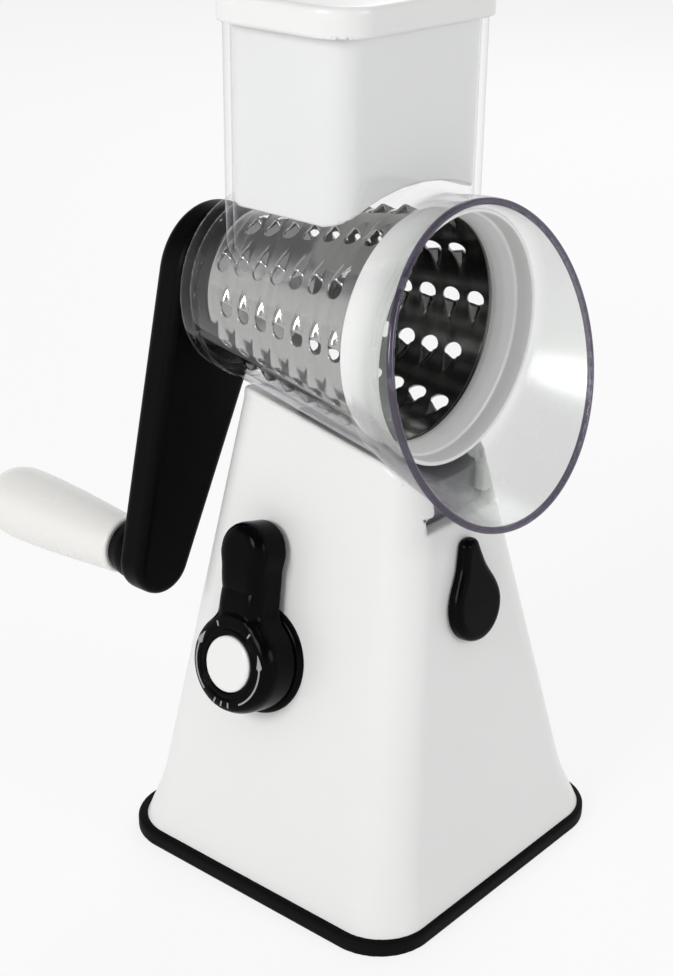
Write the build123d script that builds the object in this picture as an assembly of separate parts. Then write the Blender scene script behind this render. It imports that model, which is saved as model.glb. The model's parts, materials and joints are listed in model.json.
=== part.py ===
"""Hand-cranked drum shredder on a suction tower, in millimetres, +Z up.

The origin lies on the table at the centre of the square base.  The drum's axis runs along Y:
the outlet flare faces -Y, the crank is at +Y, and the suction lever is on the -X wall.
"""
from build123d import *
import math
import os

# ---------------------------------------------------------------- driving sizes
# tower
base_width = 125.0  # across the black rim
rim_height = 5.4
rim_step = 2.5  # the rim stands this far outside the tower
rim_corner = 20.0
rim_band = 12.5  # width of the rim's ring on the table
band_height = 8.1  # steep band of the tower above the rim
band_draft = 2.7  # how much narrower that band is at its top, on each side
flare_height = 12.0  # hollow flare above the band
flare_reach = 1.2  # how far that flare stands out of the straight wall
foot_height = 25.0  # level at which the foot sizes are taken
foot_inset_side = 9.2
foot_inset_front = 7.9
foot_corner = 17.0
tower_top_width = 41.1
tower_top_depth = 77.8
tower_top_shift = 4.8  # the top's middle lies this far behind the base's
tower_top_corner = 12.0
saddle_drop = 34.5  # from the drum's axis down to the level of the top sizes
tower_wall = 2.5
seat_gap = 0.3  # between the saddle and the barrel

# clear housing
axis_height = 188.1  # of the drum's axis over the table
barrel_rear_y = 55.5
barrel_front_y = -19.0
barrel_rear_radius = 29.35
barrel_front_radius = 41.0
barrel_wall = 2.0
collar_length = 8.0  # raised band round the barrel's rear edge
collar_step = 0.8
flare_root_y = -23.0
flare_rim_radius = 49.7
flare_rim_y = -49.2
flare_rim_drop = 5.0  # the rim's centre lies this far under the drum's axis
flare_rim_tilt = 15.4
chute_width = 74.4
chute_depth = 51.9
chute_y = 7.9
chute_corner = 11.5
chute_wall = 2.2
chute_rise = 89.2  # of the chute's edge over the drum's axis
shoulder_height = 17.0  # the chute narrows into the barrel over this height
shoulder_gap = 11.0  # between the pusher's lower edge and the shoulder
shoulder_inset = 7.2
rail_front_y = -33.5
rail_length = 54.0
rail_stem_width = 25.0
rail_flange_width = 32.6
rail_flange_height = 4.0
rail_drop = 58.1  # from the drum's axis down to the rail's underside
rail_gap = 0.3
channel_wall = 2.6

# drum
drum_rear_y = 48.5
drum_front_y = -20.0
drum_rear_radius = 25.0
drum_front_radius = 36.3
drum_sheet = 0.8
hole_radius = 3.1
hole_rows = 12
holes_per_row = 7
hole_margin = 6.0  # from either edge of the drum to the nearest hole's middle
front_ring_length = 14.0
front_ring_lip = 39.6  # radius of the funnel's front lip
hub_thickness = 2.8
hub_boss_radius = 11.0
hub_boss_length = 12.0
front_ring_lap = 2.0  # of the ring over the drum's front edge
front_ring_seat = 4.0  # length of the ring's collar in front of that edge
front_ring_wall = 1.6
front_ring_rim = 2.4  # thickness of its lip
front_ring_step = 3.0  # from the collar to where the funnel starts to spread

# pusher
pusher_gap = 0.6
pusher_wall = 1.8
pusher_rise = 35.9  # of the pusher's lower edge over the drum's axis
pusher_arch_radius = 80.0
lid_height = 8.7
lid_lip = 1.75
lid_skin = 2.4
plug_reach = 8.0  # of the lid's plug into the pusher

# crank
shaft_radius = 6.0
shaft_square = 9.0
running_gap = 0.06  # radial, round every turning shaft
slide_gap = 0.3  # round the drum's square socket
arm_front_y = 61.0
arm_thickness = 12.0
arm_hub_radius = 23.5
arm_end_radius = 12.0
arm_length = 100.0
crank_angle = 20.0  # rest angle from straight down, towards -X
grip_length = 68.5
grip_near_radius = 11.0
grip_far_radius = 13.6
collar_radius = 10.2
collar_reach = 8.0
pin_radius = 3.5
arm_web = 4.0  # recess in the arm's hub, from its rear face
arm_skin = 2.0  # left in front of the handle's pin
crank_screw_radius = 2.2
crank_screw_head = 5.5
crank_screw_depth = 12.0
screw_seat_step = 3.5  # of the hub's recess over the shaft
bush_wall = 3.0
bush_gap = 2.0  # between the bush and the arm
cover_depth = 1.4
cover_step = 0.4  # of a cover over the face it closes

# suction lever
lever_height = 77.7
lever_y = 12.1
lever_thickness = 14.0
lever_disc_radius = 17.0
lever_arm_width = 17.0
lever_boss_radius = 9.2
lever_reach = 37.0  # from the shaft to the tip boss's centre
lever_rest_turn = 6.5  # degrees from straight up the wall to the lever's arm at rest
bezel_radius = 18.5
bezel_thickness = 2.0
cap_radius = 9.3
cam_shaft_radius = 5.0
cam_square = 7.0
cam_thickness = 5.0
cam_low = 6.0
bezel_sleeve = 3.0  # wall of the bezel's sleeve
lever_screw_radius = 2.0
lever_screw_depth = 6.0
lever_head_radius = 4.2
lever_head_height = 2.4
suction_lift = 4.0

# latch
latch_depth = 29.0  # of the knob's middle under the rail
latch_bulb_radius = 11.2
latch_tip_radius = 3.5
latch_reach = 19.8
latch_thickness = 4.6
latch_spindle_radius = 4.0
latch_cam_high = 8.5
spindle_seat = 2.8  # depth of the knob's blind hole
nut_step = 3.0  # of every ring nut over the shaft it sits on
nut_height = 2.5
latch_drop = 3.4
bolt_width = 9.0
bolt_thickness = 5.0
bolt_y = -28.0
bolt_engagement = 2.4
bolt_guide = 12.0  # height of the bolt's guide under the rail

# floor and suction pad
floor_thickness = 3.0
pad_thickness = 2.5
stem_radius = 4.0
stem_foot_radius = 14.0
stem_foot_thickness = 2.5
guide_radius = 8.0
guide_length = 20.0  # of the stem's guide tube over the floor
rim_lip = 4.0  # thickness of the lip under the floor plate
lip_height = 4.6  # of that lip over the rim
screw_radius = 1.7
boss_radius = 4.6
rest_gap = 0.3  # between pieces that pass or face each other

# ---------------------------------------------------------------- derived sizes
base_half = base_width / 2
band_half = base_half - rim_step
band_top = rim_height + band_height
foot_half_x = base_half - foot_inset_side
foot_half_y = base_half - foot_inset_front
top_level = axis_height - saddle_drop
rail_base_z = axis_height - rail_drop
latch_height = rail_base_z - latch_depth
chute_top = axis_height + chute_rise
pusher_bottom = axis_height + pusher_rise
shoulder_top = pusher_bottom - shoulder_gap
floor_bottom = rim_height + lip_height
room_half = band_half - band_draft - tower_wall  # of the room inside the band
floor_top = floor_bottom + floor_thickness
barrel_slope = (barrel_front_radius - barrel_rear_radius) / (barrel_rear_y - barrel_front_y)
drum_slope = (drum_front_radius - drum_rear_radius) / (drum_rear_y - drum_front_y)
drum_axis = Location((0, 0, axis_height))


def between(start, end, share):
    """Value at a share of the way from start to end."""
    return start + (end - start) * share


def tower_wall_x(z):
    """Half width of the straight tower at height z."""
    return between(foot_half_x, tower_top_width / 2, (z - foot_height) / (top_level - foot_height))


def tower_wall_y(z):
    """Half depth of the straight tower at height z."""
    return between(foot_half_y, tower_top_depth / 2, (z - foot_height) / (top_level - foot_height))


def tower_shift(z):
    """How far behind the origin the tower's middle lies at height z."""
    return between(0, tower_top_shift, (z - foot_height) / (top_level - foot_height))


def tower_front(z):
    """Y of the straight front wall at height z."""
    return tower_shift(z) - tower_wall_y(z)


side_lean = math.atan2(foot_half_x - tower_top_width / 2, top_level - foot_height)
front_lean = math.atan2(tower_front(top_level) - tower_front(foot_height), top_level - foot_height)
lever_plane = Plane(
    origin=(-tower_wall_x(lever_height), lever_y, lever_height),
    x_dir=(0, -1, 0),
    z_dir=(-math.cos(side_lean), 0, math.sin(side_lean)),
)
latch_plane = Plane(
    origin=(0, tower_front(latch_height), latch_height),
    x_dir=(1, 0, 0),
    z_dir=(0, -math.cos(front_lean), math.sin(front_lean)),
)
arm_plane = Plane(origin=(0, arm_front_y, axis_height), x_dir=(1, 0, 0), z_dir=(0, -1, 0))
end_x = -arm_length * math.sin(math.radians(crank_angle))
end_drop = arm_length * math.cos(math.radians(crank_angle))
handle_axis = Location((end_x, 0, axis_height - end_drop))
arm_rear_y = arm_front_y + arm_thickness


# ---------------------------------------------------------------- shape helpers
def post(radius, low, high, x=0, y=0):
    """Upright round bar from height low to height high."""
    return Pos(x, y, low) * Cylinder(radius, high - low, align=(Align.CENTER, Align.CENTER, Align.MIN))


def block(x_range, y_range, z_range):
    """Box between three pairs of limits."""
    size = [high - low for low, high in (x_range, y_range, z_range)]
    centre = [(high + low) / 2 for low, high in (x_range, y_range, z_range)]
    return Pos(*centre) * Box(*size)


def turned(points, place=drum_axis):
    """Solid of revolution about a line along Y, from its (radius, y) points."""
    return place * revolve(make_face(Polyline(*points, close=True)), Axis.Y, 360)


def tapered_bar(y_a, radius_a, y_b, radius_b, place=drum_axis):
    """Solid cone frustum along Y."""
    return turned([(0, y_a), (radius_a, y_a), (radius_b, y_b), (0, y_b)], place)


def rounded_layer(half_x, half_y, corner, z, shift=0.0):
    """Rounded rectangle lying at height z."""
    return Pos(0, shift, z) * RectangleRounded(2 * half_x, 2 * half_y, corner)


def rounded_slab(half_x, half_y, corner, low, high, shift=0.0):
    """Plate with rounded corners from height low to height high."""
    return extrude(rounded_layer(half_x, half_y, corner, low, shift), high - low)


def barrel_radius(y):
    """Outer radius of the clear barrel at y."""
    return barrel_rear_radius + barrel_slope * (barrel_rear_y - y)


def drum_radius(y):
    """Outer radius of the steel drum at y."""
    return drum_rear_radius + drum_slope * (drum_rear_y - y)


# ---------------------------------------------------------------- tower
def tower_core(inset, low, high):
    """The tower's leaning body between two levels, every wall moved in by inset."""
    levels = [band_top + flare_height * share for share in (0.0, 0.2, 0.4, 0.7, 1.0)]
    levels = [low] + [level for level in levels if low < level < high] + [high]
    layers = []
    for z in levels:
        fade = max(0.0, 1 - (z - band_top) / flare_height)
        spread = flare_reach * min(1.0, fade) ** 2 - inset
        corner = between(foot_corner, tower_top_corner, (z - foot_height) / (top_level - foot_height))
        layers.append(
            rounded_layer(
                tower_wall_x(z) + spread, tower_wall_y(z) + spread, corner - inset, z, tower_shift(z)
            )
        )
    return loft(layers, ruled=True)


def flare_cone(offset, start=0.0, end=1.0):
    """Solid flare from the barrel's root circle to the tilted rim, its surface moved by offset."""
    tilt = math.radians(flare_rim_tilt)
    circles = []
    for share in (start, end):
        turn = tilt * share
        middle = (
            0,
            between(flare_root_y, flare_rim_y, share),
            axis_height - flare_rim_drop * share,
        )
        facing = Plane(origin=middle, x_dir=(1, 0, 0), z_dir=(0, -math.cos(turn), math.sin(turn)))
        radius = between(barrel_radius(flare_root_y), flare_rim_radius, share) + offset
        circles.append(facing * Circle(radius))
    return loft(circles, ruled=True)


def barrel_bar(offset, rear_y, front_y):
    """Solid barrel cone between two stations, its surface moved by offset."""
    return tapered_bar(rear_y, barrel_radius(rear_y) + offset, front_y, barrel_radius(front_y) + offset)


def seated_barrel(offset):
    """Room that the barrel and its flare take in the tower's top."""
    behind = barrel_rear_y + arm_thickness
    return barrel_bar(offset + collar_step, behind, flare_root_y) + flare_cone(offset + collar_step)


channel_half = rail_flange_width / 2 + rail_gap + channel_wall
rail_rear_y = rail_front_y + rail_length
cam_seat = abs(lever_plane.origin.X) / math.cos(side_lean)  # along the shaft, wall to tower middle
cam_height = lever_height - cam_seat * math.sin(side_lean)
latch_cam_seat = (bolt_y - latch_plane.origin.Y) / math.cos(front_lean)
latch_cam_height = latch_height - latch_cam_seat * math.sin(front_lean)
bolt_top = rail_base_z + bolt_engagement
bolt_bottom = (
    latch_cam_height
    + latch_cam_high * math.cos(front_lean)
    + cam_thickness / 2 * math.sin(front_lean)
    + 2 * rest_gap
)
guide_bottom = rail_base_z - bolt_guide
screw_places = [(sx * (band_half - 17), sy * (band_half - 17)) for sx in (-1, 1) for sy in (-1, 1)]


def rail_channel():
    """Block in the tower's neck that holds the rail's slot and guides the latch bolt."""
    front = tower_front(rail_base_z) - tower_wall
    neck = block(
        (-channel_half, channel_half),
        (front, rail_rear_y + rail_gap + channel_wall),
        (guide_bottom, axis_height),
    )
    return neck & tower_core(0.4 * tower_wall, foot_height, axis_height - saddle_drop / 2)


def rail_slot():
    """T-shaped slot, open to the front, with the bolt's guide hole under it."""
    far_front = -base_half
    flange_half = rail_flange_width / 2 + rail_gap
    stem_half = rail_stem_width / 2 + rail_gap
    flange_top = rail_base_z + rail_flange_height + rail_gap
    flange_slot = block(
        (-flange_half, flange_half), (far_front, rail_rear_y + rail_gap), (rail_base_z - rail_gap, flange_top)
    )
    stem_slot = block((-stem_half, stem_half), (far_front, rail_rear_y + rail_gap), (rail_base_z, axis_height))
    half_width = bolt_width / 2 + rest_gap
    half_thickness = bolt_thickness / 2 + rest_gap
    guide = block(
        (-half_width, half_width),
        (bolt_y - half_thickness, bolt_y + half_thickness),
        (guide_bottom - 1, rail_base_z),
    )
    return flange_slot + stem_slot + guide


def base_shell():
    """White moulded tower, open below, its top cut to the barrel's shape."""
    high = axis_height - saddle_drop / 2
    band = loft(
        [
            rounded_layer(band_half, band_half, rim_corner - rim_step, rim_height),
            rounded_layer(band_half - band_draft, band_half - band_draft, rim_corner - rim_step, band_top),
        ],
        ruled=True,
    )
    band_room = rounded_slab(room_half, room_half, rim_corner - rim_step - tower_wall, rim_height, band_top)
    body = band - band_room + (tower_core(0, band_top, high) - tower_core(tower_wall, band_top, high))
    body += tower_core(0, top_level - tower_wall, high) & seated_barrel(seat_gap + tower_wall)
    body += rail_channel()
    for x, y in screw_places:
        boss = post(boss_radius, floor_top, foot_height + 3 * floor_top, x, y)
        body += boss & tower_core(0.4 * tower_wall, floor_top, high)
        body -= post(screw_radius - 0.2, floor_top, foot_height, x, y)
    body -= seated_barrel(seat_gap)
    body -= rail_slot()
    bezel_hole = lever_plane * post(bezel_sleeve_radius + rest_gap, -3 * tower_wall, 3 * tower_wall)
    spindle_hole = latch_plane * post(latch_spindle_radius + running_gap, -3 * tower_wall, 3 * tower_wall)
    return body - bezel_hole - spindle_hole


# ---------------------------------------------------------------- floor and suction pad
post_foot_x = (9.0, 28.0)
post_width = 18.0
post_thickness = 6.0
post_foot_thickness = 4.0
post_round = 6.0
foot_screws = [(post_foot_x[1] - 5.0, lever_y + side * post_width / 4) for side in (-1, 1)]


def suction_rim():
    """Black rubber ring the tower stands on, with an inner lip that carries the floor plate."""
    ring = rounded_slab(base_half, base_half, rim_corner, 0, rim_height)
    ring = fillet(ring.faces().sort_by(Axis.Z)[-1].edges(), 1.5)
    lip_half = room_half - rest_gap
    lip_corner = rim_corner - rim_step - tower_wall - rest_gap
    ring += rounded_slab(lip_half, lip_half, lip_corner, rim_height, floor_bottom)
    hole_half = base_half - rim_band
    ring -= rounded_slab(hole_half, hole_half, rim_corner - rim_band / 2, 0, rim_height)
    lip_hole = lip_half - rim_lip
    return ring - rounded_slab(lip_hole, lip_hole, lip_corner - rim_lip, rim_height, floor_bottom)


def suction_membrane():
    """Rubber sheet stretched across the rim's hole."""
    half = base_half - rim_band
    return rounded_slab(half, half, rim_corner - rim_band / 2, 0, pad_thickness)


def base_floor():
    """Inner floor plate with the stem's guide tube."""
    half = room_half - rest_gap
    plate = rounded_slab(half, half, rim_corner - rim_step - tower_wall - rest_gap, floor_bottom, floor_top)
    plate += post(guide_radius, floor_top, floor_top + guide_length)
    plate -= post(stem_radius + running_gap, floor_bottom, floor_top + guide_length)
    for x, y in screw_places:
        plate -= post(screw_radius + 0.2, floor_bottom, floor_top, x, y)
    for x, y in foot_screws:
        plate -= post(screw_radius, floor_bottom, floor_top, x, y)
    return plate


def screw(x, y, head_z, shank_top, head_up=False):
    """Pan-head screw standing at (x, y), its head against the level head_z."""
    head_height = 1.8
    if head_up:
        head = post(2 * screw_radius, head_z, head_z + head_height, x, y)
        return head + post(screw_radius - 0.2, shank_top, head_z, x, y)
    head = post(2 * screw_radius, head_z - head_height, head_z, x, y)
    return head + post(screw_radius - 0.2, head_z, shank_top, x, y)


def floor_screws():
    """Four screws up through the floor plate into the tower's corner bosses."""
    return Compound(children=[screw(x, y, floor_bottom, foot_height - 1) for x, y in screw_places])


# ---------------------------------------------------------------- suction lever and its cam
bezel_sleeve_radius = cam_shaft_radius + bezel_sleeve
socket_depth = lever_thickness * 0.42
lever_back = bezel_thickness + 0.2
lever_front = lever_back + lever_thickness
cap_seat = lever_front - 2.5
screw_head_seat = cap_seat - 3.2
cam_rise = suction_lift / math.cos(side_lean)


def spiral_disc(start_radius, growth, thickness):
    """Heart-shaped disc about local Z: the radius grows evenly over half a turn, then shrinks back."""
    steps = 12
    half = []
    for step in range(steps + 1):
        angle = math.pi * step / steps
        radius = start_radius + growth * step / steps
        half.append((-radius * math.sin(angle), radius * math.cos(angle)))
    mirrored = [(-x, y) for x, y in reversed(half)]
    outline = Spline(*half) + Spline(*mirrored)
    return extrude(make_face(outline), thickness)


def suction_lever():
    """Black keyhole-shaped lever with a round disc and a boss at its tip."""
    disc = Circle(lever_disc_radius)
    arm = Pos(0, lever_reach / 2) * Rectangle(lever_arm_width, lever_reach)
    outline = disc + Rot(0, 0, lever_rest_turn) * (arm + Pos(0, lever_reach) * Circle(lever_boss_radius))
    body = extrude(outline, lever_thickness)
    body = fillet(body.faces().sort_by(Axis.Z)[-1].edges(), 2.2)
    body = Pos(0, 0, lever_back) * body
    socket = Pos(0, 0, lever_back) * Box(
        cam_square, cam_square, socket_depth, align=(Align.CENTER, Align.CENTER, Align.MIN)
    )
    body -= socket
    body -= post(cap_radius + 0.1, cap_seat, lever_front)
    body -= post(lever_head_radius + rest_gap, screw_head_seat, cap_seat)
    return lever_plane * (body - post(lever_screw_radius + rest_gap, lever_back, cap_seat))


def lever_cap():
    """White disc pressed into the lever's face."""
    cap = post(cap_radius, cap_seat, lever_front + cover_step)
    return lever_plane * chamfer(cap.faces().sort_by(Axis.Z)[-1].edges(), cover_step)


def lever_screw():
    """Screw through the lever's web into the shaft's end."""
    head = post(lever_head_radius, screw_head_seat, screw_head_seat + lever_head_height)
    return lever_plane * (head + post(lever_screw_radius, -lever_screw_depth, screw_head_seat))


def lever_bezel():
    """Thin black ring on the wall, its sleeve passing through the wall round the shaft."""
    ring = post(bezel_radius, 0, bezel_thickness)
    ring = chamfer(ring.faces().sort_by(Axis.Z)[-1].edges(), 0.6)
    ring += post(bezel_sleeve_radius, -3 * tower_wall, 0)
    return lever_plane * (ring - post(cam_shaft_radius + running_gap, -3 * tower_wall, bezel_thickness))


def bezel_nut():
    """Ring nut that clamps the bezel's sleeve from inside the wall."""
    back = -tower_wall / math.cos(side_lean) - rest_gap
    nut = post(bezel_sleeve_radius + nut_step, back - nut_height, back)
    return lever_plane * (nut - post(bezel_sleeve_radius, back - nut_height, back))


def cam_shaft():
    """Steel shaft from the lever through the wall and the cam to the bracket."""
    inner_end = -cam_seat - (post_foot_x[0] + post_thickness) / math.cos(side_lean) - 1.5
    shaft = post(cam_shaft_radius, inner_end, lever_back)
    shaft += Pos(0, 0, lever_back) * Box(
        cam_square, cam_square, socket_depth, align=(Align.CENTER, Align.CENTER, Align.MIN)
    )
    return lever_plane * (shaft - post(lever_screw_radius, -lever_screw_depth, lever_back + socket_depth))


def suction_cam():
    """Heart-shaped cam on the lever's shaft, centred over the stem."""
    half = cam_thickness / 2
    disc = Pos(0, 0, -cam_seat - half) * spiral_disc(cam_low, cam_rise, cam_thickness)
    return lever_plane * (disc - post(cam_shaft_radius, -cam_seat - half, -cam_seat + half))


def cam_bracket():
    """Post on the floor plate that carries the inner end of the lever's shaft."""
    side = post_width / 2
    near, far = post_foot_x
    foot_top = floor_top + post_foot_thickness
    upright = block((near, near + post_thickness), (lever_y - side, lever_y + side), (floor_top, cam_height + 8))
    foot = block((near, far), (lever_y - side, lever_y + side), (floor_top, foot_top))
    bracket = upright + foot
    bracket = fillet(bracket.edges().filter_by(Axis.X).group_by(Axis.Z)[-1], post_round)
    bore = lever_plane * post(cam_shaft_radius + running_gap, -2 * cam_seat, 0)
    bracket -= bore
    for x, y in foot_screws:
        bracket -= post(screw_radius, floor_top, foot_top, x, y)
    return bracket


def bracket_screws():
    """Two screws that fix the bracket's foot to the floor plate."""
    head_level = floor_top + post_foot_thickness
    pieces = [screw(x, y, head_level, floor_bottom, head_up=True) for x, y in foot_screws]
    return Compound(children=pieces)


yoke_half = cam_low + cam_rise + 2.0
yoke_bar = 4.0
yoke_depth = 12.0
tilt_edge = cam_thickness / 2 * math.sin(side_lean)
yoke_top = cam_height + cam_low * math.cos(side_lean) + tilt_edge + 0.5
yoke_bottom = cam_height - (cam_low + cam_rise) * math.cos(side_lean) - tilt_edge - 0.5


def suction_stem():
    """Stem with a round foot on the membrane and a window-shaped yoke round the cam."""
    outer_side = yoke_half + yoke_bar
    window = block(
        (-yoke_depth / 2, yoke_depth / 2),
        (lever_y - outer_side, lever_y + outer_side),
        (yoke_bottom - yoke_bar, yoke_top + yoke_bar),
    )
    inside = block(
        (-yoke_half, yoke_half), (lever_y - yoke_half, lever_y + yoke_half), (yoke_bottom, yoke_top)
    )
    rod = post(stem_radius, pad_thickness, yoke_bottom - yoke_bar / 2)
    return window - inside + rod + post(stem_foot_radius, pad_thickness, pad_thickness + stem_foot_thickness)


# ---------------------------------------------------------------- front latch
def latch_knob():
    """Black teardrop knob, its tip upwards."""
    outline = make_hull(Circle(latch_bulb_radius).edges() + (Pos(0, latch_reach) * Circle(latch_tip_radius)).edges())
    knob = extrude(outline, latch_thickness)
    knob = fillet(knob.faces().sort_by(Axis.Z)[-1].edges(), 3.0)
    knob = Pos(0, 0, rest_gap) * knob
    return latch_plane * (knob - post(latch_spindle_radius, 0, spindle_seat))


def latch_spindle():
    """Spindle of the knob through the front wall, with the cam that lifts the bolt."""
    half = cam_thickness / 2
    spindle = post(latch_spindle_radius, -latch_cam_seat - half, spindle_seat)
    growth = -2 * latch_drop / math.cos(front_lean)
    floor_radius = latch_cam_high + growth / 2
    arc = spiral_disc(latch_cam_high, growth, cam_thickness)
    wheel = arc + extrude(Circle(floor_radius), cam_thickness)
    return latch_plane * (spindle + Pos(0, 0, -latch_cam_seat - half) * wheel)


def latch_nut():
    """Ring that keeps the spindle from pulling out of the wall."""
    back = -tower_wall / math.cos(front_lean) - rest_gap
    ring = post(latch_spindle_radius + nut_step, back - nut_height, back)
    return latch_plane * (ring - post(latch_spindle_radius, back - nut_height, back))


def latch_bolt():
    """Upright bolt between the spindle's cam and the groove in the rail."""
    half_width = bolt_width / 2
    half_thickness = bolt_thickness / 2
    return block(
        (-half_width, half_width),
        (bolt_y - half_thickness, bolt_y + half_thickness),
        (bolt_bottom, bolt_top),
    )


# ---------------------------------------------------------------- clear housing
def chute_column(inset, low, high):
    """Straight part of the feed chute between two levels, walls moved in by inset."""
    return rounded_slab(
        chute_width / 2 - inset, chute_depth / 2 - inset, chute_corner - inset, low, high, chute_y
    )


def chute_shoulder(inset):
    """Funnel between the chute and the barrel."""
    wide = rounded_layer(
        chute_width / 2 - inset, chute_depth / 2 - inset, chute_corner - inset, shoulder_top, chute_y
    )
    narrow = rounded_layer(
        chute_width / 2 - shoulder_inset - inset,
        chute_depth / 2 - inset,
        chute_corner - inset,
        shoulder_top - shoulder_height,
        chute_y,
    )
    return loft([narrow, wide], ruled=True)


def housing_rail():
    """T-shaped rail under the barrel with the groove for the latch bolt."""
    stem = block(
        (-rail_stem_width / 2, rail_stem_width / 2),
        (rail_front_y, rail_rear_y),
        (rail_base_z + rail_flange_height / 2, axis_height - barrel_rear_radius),
    )
    flange = block(
        (-rail_flange_width / 2, rail_flange_width / 2),
        (rail_front_y, rail_rear_y),
        (rail_base_z, rail_base_z + rail_flange_height),
    )
    groove = block(
        (-bolt_width / 2 - rest_gap, bolt_width / 2 + rest_gap),
        (bolt_y - bolt_thickness / 2 - rest_gap, bolt_y + bolt_thickness / 2 + rest_gap),
        (rail_base_z - 1, bolt_top + rest_gap),
    )
    return stem + flange - groove


def hopper_housing():
    """Clear moulding: conical barrel, feed chute, tilted outlet flare and rail."""
    rear_inside = barrel_rear_y - barrel_wall
    outer = barrel_bar(0, barrel_rear_y, flare_root_y) + flare_cone(0)
    outer += barrel_bar(collar_step, barrel_rear_y, barrel_rear_y - collar_length)
    outer += chute_shoulder(0) + chute_column(0, shoulder_top, chute_top)
    outer += housing_rail()
    inner = barrel_bar(-barrel_wall, rear_inside, flare_root_y) + flare_cone(-barrel_wall, 0.0, 1.06)
    inner += chute_shoulder(chute_wall) + chute_column(chute_wall, shoulder_top, chute_top)
    bush_hole = turned_bore(bush_radius, rear_inside, barrel_rear_y)
    return outer - inner - bush_hole


def turned_bore(radius, y_a, y_b):
    """Round cutter along the drum's axis."""
    return tapered_bar(y_a, radius, y_b, radius)


# ---------------------------------------------------------------- crank
bush_radius = shaft_radius + bush_wall
bush_flange = bush_radius + bush_wall
bush_front_y = barrel_rear_y - barrel_wall - 1.0
socket_rear_y = bush_front_y - 1.0
screw_seat_radius = shaft_radius + screw_seat_step
web_y = arm_rear_y - arm_web
screw_front_y = web_y - crank_screw_depth


def shaft_bush():
    """Flanged bush in the barrel's rear wall."""
    rear = arm_front_y - bush_gap
    points = [
        (shaft_radius + running_gap, bush_front_y),
        (bush_radius, bush_front_y),
        (bush_radius, barrel_rear_y),
        (bush_flange, barrel_rear_y),
        (bush_flange, rear),
        (shaft_radius + running_gap, rear),
    ]
    return turned(points)


def square_bar(side, y_a, y_b):
    """Square bar along the drum's axis."""
    return block((-side / 2, side / 2), (y_a, y_b), (axis_height - side / 2, axis_height + side / 2))


def drive_shaft():
    """Steel shaft: round in the bush and the arm, square in front to drive the drum."""
    square_front = drum_rear_y - hub_thickness - hub_boss_length + 1.0
    shaft = turned_bore(shaft_radius, socket_rear_y, web_y)
    shaft += turned_bore(shaft_radius + nut_step, arm_front_y - bush_gap + rest_gap, arm_front_y)
    shaft += square_bar(shaft_square, square_front, bush_front_y)
    return shaft - turned_bore(crank_screw_radius, screw_front_y, web_y)


def crank_arm():
    """Black tapered arm from the hub to the handle's end."""
    hub = Circle(arm_hub_radius)
    end = Pos(end_x, -end_drop) * Circle(arm_end_radius)
    arm = extrude(make_hull(hub.edges() + end.edges()), -arm_thickness)
    arm = fillet(arm.faces().filter_by(GeomType.PLANE).edges(), 2.4)
    arm = arm_plane * arm
    arm -= turned_bore(shaft_radius, arm_front_y, web_y)
    arm -= turned_bore(screw_seat_radius, web_y, arm_rear_y)
    return arm - tapered_bar(arm_front_y + arm_skin, pin_radius, arm_rear_y, pin_radius, handle_axis)


def crank_screw():
    """Screw in the hub's recess that holds the arm on the shaft."""
    head = turned_bore(crank_screw_head, web_y, arm_rear_y - cover_depth - rest_gap)
    return head + turned_bore(crank_screw_radius, screw_front_y, web_y)


def crank_cover():
    """Round cover that closes the hub's recess."""
    return turned_bore(screw_seat_radius, arm_rear_y - cover_depth, arm_rear_y + cover_step)


# ---------------------------------------------------------------- handle
grip_front_y = arm_rear_y + collar_reach + rest_gap
grip_end_y = grip_front_y + grip_length
plug_length = 6.0
plug_gap = 2.0
nut_room = 8.0
spindle_nut_radius = 5.8
spindle_nut_height = 4.0
plug_radius = grip_far_radius - 6.4
plug_seat_y = grip_end_y - 1.4


def handle_spindle():
    """Steel pin fixed in the arm's end."""
    return tapered_bar(
        arm_front_y + arm_skin, pin_radius, grip_end_y - plug_length - plug_gap, pin_radius, handle_axis
    )


def handle_collar():
    """Black collar between the arm and the grip."""
    points = [
        (pin_radius, arm_rear_y),
        (collar_radius, arm_rear_y),
        (collar_radius - 1.2, arm_rear_y + collar_reach),
        (pin_radius, arm_rear_y + collar_reach),
    ]
    return turned(points, handle_axis)


def handle_grip():
    """Ivory hand grip, thicker towards its free end, turning on the pin."""
    bore = pin_radius + running_gap
    nut_front = grip_end_y - plug_length - nut_room
    points = [
        (bore, grip_front_y),
        (grip_near_radius - 1.5, grip_front_y),
        (grip_near_radius, grip_front_y + 1.5),
        (between(grip_near_radius, grip_far_radius, 0.45), grip_front_y + 0.35 * grip_length),
        (grip_far_radius, grip_end_y - 16.0),
        (grip_far_radius - 0.7, grip_end_y - 10.0),
        (grip_far_radius - 3.6, grip_end_y - 3.6),
        (plug_radius, plug_seat_y),
        (plug_radius, nut_front),
        (bore, nut_front),
    ]
    return turned(points, handle_axis)


def spindle_nut():
    """Nut on the pin's end that keeps the grip on."""
    front = grip_end_y - plug_length - nut_room + rest_gap
    rear = front + spindle_nut_height
    points = [
        (pin_radius, front),
        (spindle_nut_radius, front),
        (spindle_nut_radius, rear),
        (pin_radius, rear),
    ]
    return turned(points, handle_axis)


def grip_plug():
    """Rounded plug that closes the grip's free end."""
    inner_y = grip_end_y - plug_length + rest_gap
    points = [
        (0, inner_y),
        (plug_radius, inner_y),
        (plug_radius, plug_seat_y),
        (0.6 * plug_radius, grip_end_y - 0.4),
        (0, grip_end_y),
    ]
    return turned(points, handle_axis)


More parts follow.
